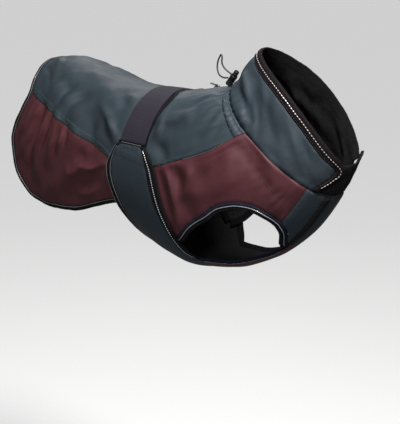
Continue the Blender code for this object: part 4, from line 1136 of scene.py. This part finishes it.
def flap():
    front_outer = smooth_edge(FLAP_FRONT_OUTER, finer(14))
    front_inner = smooth_edge(FLAP_FRONT_INNER, finer(14))
    rear = smooth_edge(FLAP_REAR, finer(18))
    left = with_far_half(rear)
    right = join(front_inner, flap_middle(), far_half(front_inner)[::-1])
    top = straight(rear[0], front_inner[0], finer(6))
    grid = patch(top, far_half(top), left, right)
    lift = flap_lift(grid)
    on_it = []
    panel("flap_cloth", grid, (SLATE, FLEECE), "belly_flap", on_it=on_it, inner=FLAP_INNER + lift,
          outer=FLAP_OUTER + lift)

    def lay(make, name, *args, **how):
        on_it.append(make(name, *args, lift=flap_lift, **how))

    rear_outer = shifted(left, rear_binding_width(left))
    inner, outer = FLAP_BINDING_INNER, FLAP_BINDING_OUTER
    lay(bound, "flap_rear_tape", left, rear_outer, inner, outer, BLACK, "flap_binding_rear", rows=7)
    # The outer of these two light lines is a painted highlight of the binding's rounded outer edge; the inner
    # one is piping.
    for share, name in ((0.08, "inner"), (0.86, "outer")):
        lay(tube, "flap_rear_piping_" + name, between(left, rear_outer, share, 3), *PIPINGS["flap rear"])
    lay(stitches, "flap_rear_stitches", [between(left, rear_outer, 0.5, 4)], outer, THREAD_BLACK)
    for turn, label in BOTH_HALVES:
        lay(bound, "flap_front_tape_" + label, turn(front_inner), turn(front_outer), inner, outer, BLACK,
            "flap_binding_front_" + label, rows=8)
        lay(tube, "flap_front_piping_" + label, turn(between(front_inner, front_outer, 0.46, 3)),
            *PIPINGS["flap front"])
        lay(stitches, "flap_front_stitches_" + label, [turn(between(front_inner, front_outer, 0.14, 4))],
            outer - 0.15, THREAD_BLACK)
    for (turn, label), side in zip(BOTH_SIDES, (1, -1)):
        start = turn(straight(rear_outer[0], front_outer[0], finer(7)))
        above = start - (0, FLAP_TOP_BINDING_ANGLE * side)
        lay(bound, "flap_top_tape_" + label, start, above, inner, outer, BLACK, "flap_binding_top_" + label,
            rows=7)
        lay(tube, "flap_top_piping_" + label, between(start, above, 0.12, 3), *PIPINGS["flap top"])


def strap():
    """The elastic over the back, a little wavy at its edges, with two sewn lines at each lower end."""
    centre = smooth_edge(STRAP_CENTRE, finer(14))
    centre = join(centre[::-1], far(centre))
    half = STRAP_WIDTH / 2
    on_it = []
    grid = ribbon(centre + (half, 0), centre - (half, 0), rows=24)
    panel("strap_elastic", grid, (ELASTIC, ELASTIC), "back_strap", "stretched", on_it, STRAP_INNER,
          STRAP_OUTER, rounding=0.8, width=1.6, pucker=0.15)
    lines = []
    for side in (1, -1):
        for angle in STRAP_SEWN_ANGLES:
            s = at_angle(STRAP_CENTRE, angle)
            lines.append([(s - half + 2.5, side * angle), (s + half - 2.5, side * angle)])
    on_it.append(stitches("strap_stitches", lines, STRAP_OUTER + 0.1, THREAD_BLACK))
    # The black tape in front of the strap is a painted shadow of the gap under the strap's front edge.
    edge = spaced(centre[2:-2] + (half - 3, 0), 3.0)
    ahead = 3 + np.interp(np.abs(edge[:, 1]), BACKING_AND_SHADE_ANGLES, BACKING_AND_SHADE_WIDTHS)
    backing_and_shade = ribbon(edge + ahead[:, None] * (1, 0), edge, 8)
    on_it.append(cloth("strap_backing", backing_and_shade, SHELL - 0.4, STRAP_INNER - 0.1, BLACK, rounding=0.3,
                       width=1.0, pucker=0.05))


def casing():
    columns, rows = finer(CASING_COLUMNS), 11
    angles = np.linspace(CASING_REAR_ANGLE, -CASING_REAR_ANGLE, columns)
    stations = np.linspace(CASING_REAR, NECK_SEAM, rows)
    shares = np.linspace(1, CASING_FRONT_ANGLE / CASING_REAR_ANGLE, rows)
    grid = np.stack([np.repeat(stations[:, None], columns, 1), shares[:, None] * angles], axis=-1)
    across = np.linspace(0, math.pi, rows)[:, None]
    waves = 0.35 * np.cos(np.arange(columns) * 2 * math.pi / (WAVE_COLUMNS * FINE)) * np.sin(across)
    panel("casing_cloth", grid, (SLATE, FLEECE), "neck_casing", "gathered", outer=CASING_OUTER, extra=waves)


def collar():
    rim = smooth_edge(RIM, finer(36))
    inner_rim = shifted(rim, RIM_BINDING_WIDTH)
    inner_corner = refined(np.concatenate([inner_rim[-1:], RIM_CORNER_INNER]))
    outer, inner = join(rim, refined(RIM_CORNER_OUTER)), join(inner_rim, inner_corner)
    bound("collar_tape", outer, inner, RIM_BINDING_INNER, RIM_BINDING_OUTER, (RIM_TAPE, FLEECE),
          "collar_binding", rows=12, rounding=1.9)
    tube("collar_piping", between(outer, inner, 0.5, 4), *PIPINGS["collar"])
    stitches("collar_stitches", [between(outer, inner, 0.86, 4)], BINDING_OUTER + 0.1, THREAD_BLACK)

    turn = 2 * FINE
    high = join(inner_rim, inner_corner[:turn + 1])
    near_end = inner_corner[turn:][::-1]
    low = straight((NECK_SEAM, COLLAR_END), (NECK_SEAM, inner_corner[-1, 1]), len(high))
    grid = patch(low, high, straight(low[0], high[0], len(near_end)), near_end)
    panel("collar_cloth", grid, (SLATE, SLATE), "collar")
    panel("collar_fleece", grid, (FLEECE, FLEECE), "collar_lining", inner=LINING_INNER,
          outer=LINING_INNER + LINING)

    top = smooth_edge(CLOSING_END_TOP, finer(9))
    low = straight((NECK_SEAM, CLOSING_END_ANGLE), (NECK_SEAM, 360 + COLLAR_END), len(top))
    grid = patch(low, top, straight(low[0], top[0], finer(6)), straight(low[-1], top[-1], finer(6)))
    under = CLOSING_END_UNDER * (1 - ramp(grid[..., 1], CLOSING_END_SLOPE_ANGLES))
    panel("closing_end_cloth", grid, (FLEECE, FLEECE), "collar_closing_end", inner=CLOSING_END_INNER - under,
          outer=CLOSING_END_OUTER - under, rounding=0.6)


def seams():
    """The felled bands along the back panel's seams, their stitching, and the facings' lines."""
    course = WHOLE_SEAM[2:-3]
    width = np.interp(course[:, 0], BAND_STATIONS, BAND_WIDTHS)[:, None]
    facing = straight((FACING_STATION, 82), (FACING_STATION, 134), 40)
    for turn, label in BOTH_SIDES:
        band = turn(ribbon(shifted(course, -0.5), shifted(course, -width), 8))
        cloth("felled_band_" + label, band, SHELL - 0.6, SHELL + 0.8, (SLATE_BAND, SLATE_BAND), rounding=0.9,
              width=1.0, pucker=0.6)
        lines = [turn(shifted(course, away)) for away in (-1.8, 1.4 - width)]
        stitches("seam_stitches_" + label, lines, SHELL + 0.55, THREAD_SLATE)
        stitches("side_stitches_" + label, [turn(shifted(course, 1.8))], SHELL - 0.05, THREAD_WINE)
        stitches("facing_stitches_" + label, [turn(facing)], SHELL + 0.05, THREAD_WINE)
        # A thin light line along the front seam: a painted highlight of the seam's edge.
        tube("seam_line_" + label, turn(SEAM_FRONT_EDGE)[40:-3], *PIPINGS["seam"])


def zip_tape():
    stations = np.linspace(ZIP_REAR - 5, CASING_REAR - 1, finer(25))
    rows = [slot_angle(stations) * (1 - t) + TAPE_HALF_ANGLE * t for t in (1.0, 0.75, 0.5, 0.25, 0.0)]
    middle_column = len(rows) - 1
    rows = rows + [-row for row in rows[::-1]]
    grid = np.stack([np.stack([stations, row], axis=1) for row in rows], axis=1)
    hole = np.zeros((len(stations) - 1, len(rows) - 1), bool)
    middle = (stations[:-1] + stations[1:]) / 2
    hole[:, middle_column] = (middle > ZIP_CLOSED) & (middle < ZIP_FRONT)
    cloth("zip_tape_cloth", grid, TAPE_INNER, TAPE_OUTER, BLACK, ("zip_tape",), hole, rounding=0.2, pucker=0)


TOOTH_PROFILE = ((-0.5, -0.32), (-0.34, -0.5), (0.34, -0.5), (0.5, -0.32), (0.5, 0.32), (0.34, 0.5),
                 (-0.34, 0.5), (-0.5, 0.32))


def zip_rows():
    """The coil of the closed zip and the two open rows in front of the slider, tooth by tooth."""
    verts, faces, uvs = [], [], []

    def tooth(station, angle, length, width, low, high):
        frames = course_frames(np.array([(station + step, angle) for step in (-1, 0, 1)], float), 0)
        c, t, u, s = (each[1] for each in frames)
        faces.extend(turned_over(ring_faces(len(verts), 3, len(TOOTH_PROFILE))))
        for height, size in ((low, 1.0), (high - 0.25, 1.0), (high, 0.72)):
            for x, y in TOOTH_PROFILE:
                verts.append(c + t * x * length * size + s * y * width * size + u * height)
                uvs.append((x, y))

    for k, station in enumerate(np.arange(ZIP_REAR + 4, ZIP_CLOSED - 1, COIL_PITCH)):
        tooth(station, 0.22 * (1 if k % 2 else -1), 1.05, 2.0, -0.4, 1.3)
    for station in np.arange(ZIP_CLOSED + SLIDER_REACH, ZIP_FRONT - 1, TOOTH_PITCH):
        half = slot_angle([station])[0]
        for side in (1, -1):
            tooth(station + (0.4 if side > 0 else 0), side * (half - 0.15), 0.95, 1.7, -0.4, 1.2)
    add_mesh("zip_coils", verts, faces, uvs, [PLASTIC], replaces=("zip_teeth",))
    stations = np.linspace(ZIP_REAR, ZIP_FRONT, 60)
    line, beside = (np.stack([stations, slot_angle(stations) + away], axis=1) for away in (0, 1.6))
    for turn, label in BOTH_SIDES:
        tube("zip_edge_" + label, turn(line)[1:-1], *PIPINGS["zip " + label])
        stitches("zip_stitches_" + label, [turn(beside)], SHELL - 0.02, THREAD_SLATE)


def lathed(name, profile, foot, node, sides=40, ribs=0, rib_depth=0.0, rib_span=(0, 0)):
    """A turned piece on the lock's axis from (radius, height) pairs, ribbed between two heights."""
    turn = Vector(LOCK_AXIS).to_track_quat("Z", "X").to_matrix()
    verts, uvs = [], []
    for radius, height in profile:
        for k in range(sides):
            a = 2 * math.pi * k / sides
            ribbed = ribs and rib_span[0] < height < rib_span[1]
            r = radius - (rib_depth * (0.5 + 0.5 * math.cos(a * ribs)) if ribbed else 0)
            verts.append(tuple(turn @ Vector((r * math.cos(a), r * math.sin(a), height)) + Vector(foot)))
            uvs.append((height, a))
    add_mesh(name, verts, ring_faces(0, len(profile), sides), uvs, [PLASTIC], replaces=(node,))


def cord_lock():
    r, length = LOCK_DIAMETER / 2, LOCK_LENGTH
    barrel = [(r - 1.3, 0), (r - 0.5, 0.25), (r, 1.0), (r, 3.0), (r - 0.1, 3.3), (r - 0.1, 3.6), (r - 0.1, 9),
              (r - 0.1, 14.4), (r - 0.1, 14.7), (r, 15.0), (r, length - 0.9), (r - 0.3, length - 0.2),
              (r - 0.9, length), (r - 1.3, length - 0.1), (r - 1.5, length - 0.7)]
    lathed("lock_barrel", barrel, LOCK_BASE, "cord_lock", 48, 12, 0.42, (3.4, 14.5))
    r, h = BUTTON_DIAMETER / 2, BUTTON_LENGTH
    foot = Vector(LOCK_BASE) + Vector(LOCK_AXIS).normalized() * (length + SEAM_GAP)
    button = [(r - 0.1, 0), (r, 0.2), (r, h - 3.6), (r - 0.25, h - 3.4), (r - 0.25, h - 3.0), (r, h - 2.8),
              (r, h - 1.0), (r - 0.25, h - 0.4), (r - 0.9, h), (r - 1.5, h - 0.1), (r - 2.2, h - 0.5),
              (0.6, h - 0.75)]
    lathed("lock_button", button, foot, "cord_lock_button")


def drawcord():
    """The drawcord's loop. Both of its ends go into the lock."""
    points = smooth_edge(CORD_ROUTE, 60) * MM
    curve = bpy.data.curves.new("drawcord_loop", "CURVE")
    curve.dimensions = "3D"
    curve.bevel_depth = CORD_DIAMETER / 2 * MM
    curve.bevel_resolution = 5
    curve.use_fill_caps = True
    spline = curve.splines.new("POLY")
    spline.points.add(len(points) - 1)
    for point, spot in zip(spline.points, points):
        point.co = (*spot, 1.0)
    curve.materials.append(CORD_MATERIAL)
    item = linked("drawcord_loop", curve)
    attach(item, "coat")
    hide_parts("drawcord")


def zip_metal():
    """The slider and its pull keep their solids, with their edges eased."""
    for name in ("zip_slider", "zip_pull"):
        item = bpy.data.objects[name]
        item.data.materials.clear()
        item.data.materials.append(DARK_METAL)
        eased = item.modifiers.new("eased", "BEVEL")
        eased.width = 0.28 * MM
        eased.segments = 3
        eased.limit_method = "ANGLE"


def declare_sheets():
    """Places each panel's grid 1 mm over its relief, and keeps nothing of it."""
    for made, grid, held, on_it in SHEETS:
        middle = place(grid, 1)


# ---- Stage ---------------------------------------------------------------------------------------


def aimed(name, data, where, target):
    """A camera or lamp at one place that looks at another."""
    item = linked(name, data)
    item.location = where
    item.rotation_euler = (Vector(target) - Vector(where)).to_track_quat("-Z", "Y").to_euler()
    return item


def camera():
    data = bpy.data.cameras.new("view")
    data.sensor_width = 36
    data.sensor_fit = "AUTO"
    data.lens = CAMERA_LENS
    bpy.context.scene.camera = aimed("view", data, CAMERA_PLACE, CAMERA_TARGET)


def stage():
    paint = bpy.data.materials.new("studio_paint")
    paint.use_nodes = True
    shader = paint.node_tree.nodes["Principled BSDF"]
    for key, value in (("Base Color", FLOOR_GREY), ("Roughness", 0.9), ("Emission Color", (1, 1, 1, 1)),
                       ("Emission Strength", FLOOR_GLOW)):
        shader.inputs[key].default_value = value
    data = bpy.data.meshes.new("studio_floor")
    corners = ((-1, -1), (1, -1), (1, 1), (-1, 1))
    data.from_pydata([(x * FLOOR_HALF, y * FLOOR_HALF, FLOOR) for x, y in corners], [], [(0, 1, 2, 3)])
    data.materials.append(paint)
    floor = linked("studio_floor", data)
    floor.visible_diffuse = False
    floor.visible_glossy = False
    world = bpy.data.worlds.new("studio")
    world.use_nodes = True
    world.node_tree.nodes["Background"].inputs["Color"].default_value = (1, 1, 1, 1)
    world.node_tree.nodes["Background"].inputs["Strength"].default_value = WORLD_STRENGTH
    bpy.context.scene.world = world
    bpy.context.scene.view_settings.view_transform = "Standard"
    for name, where, target, power, size, colour in LAMPS:
        lamp = bpy.data.lights.new(name, "AREA")
        lamp.energy = power
        lamp.shape = "DISK"
        lamp.size = size
        lamp.color = colour
        aimed(name, lamp, where, target)


camera()
stage()
cord_lock()
drawcord()
back_panel()
for turn, label in BOTH_SIDES:
    side_panels(turn, label)
    armhole(turn, label)
under_chest(chest())
hem()
flap()
strap()
casing()
collar()
seams()
zip_tape()
zip_rows()
zip_metal()
declare_sheets()
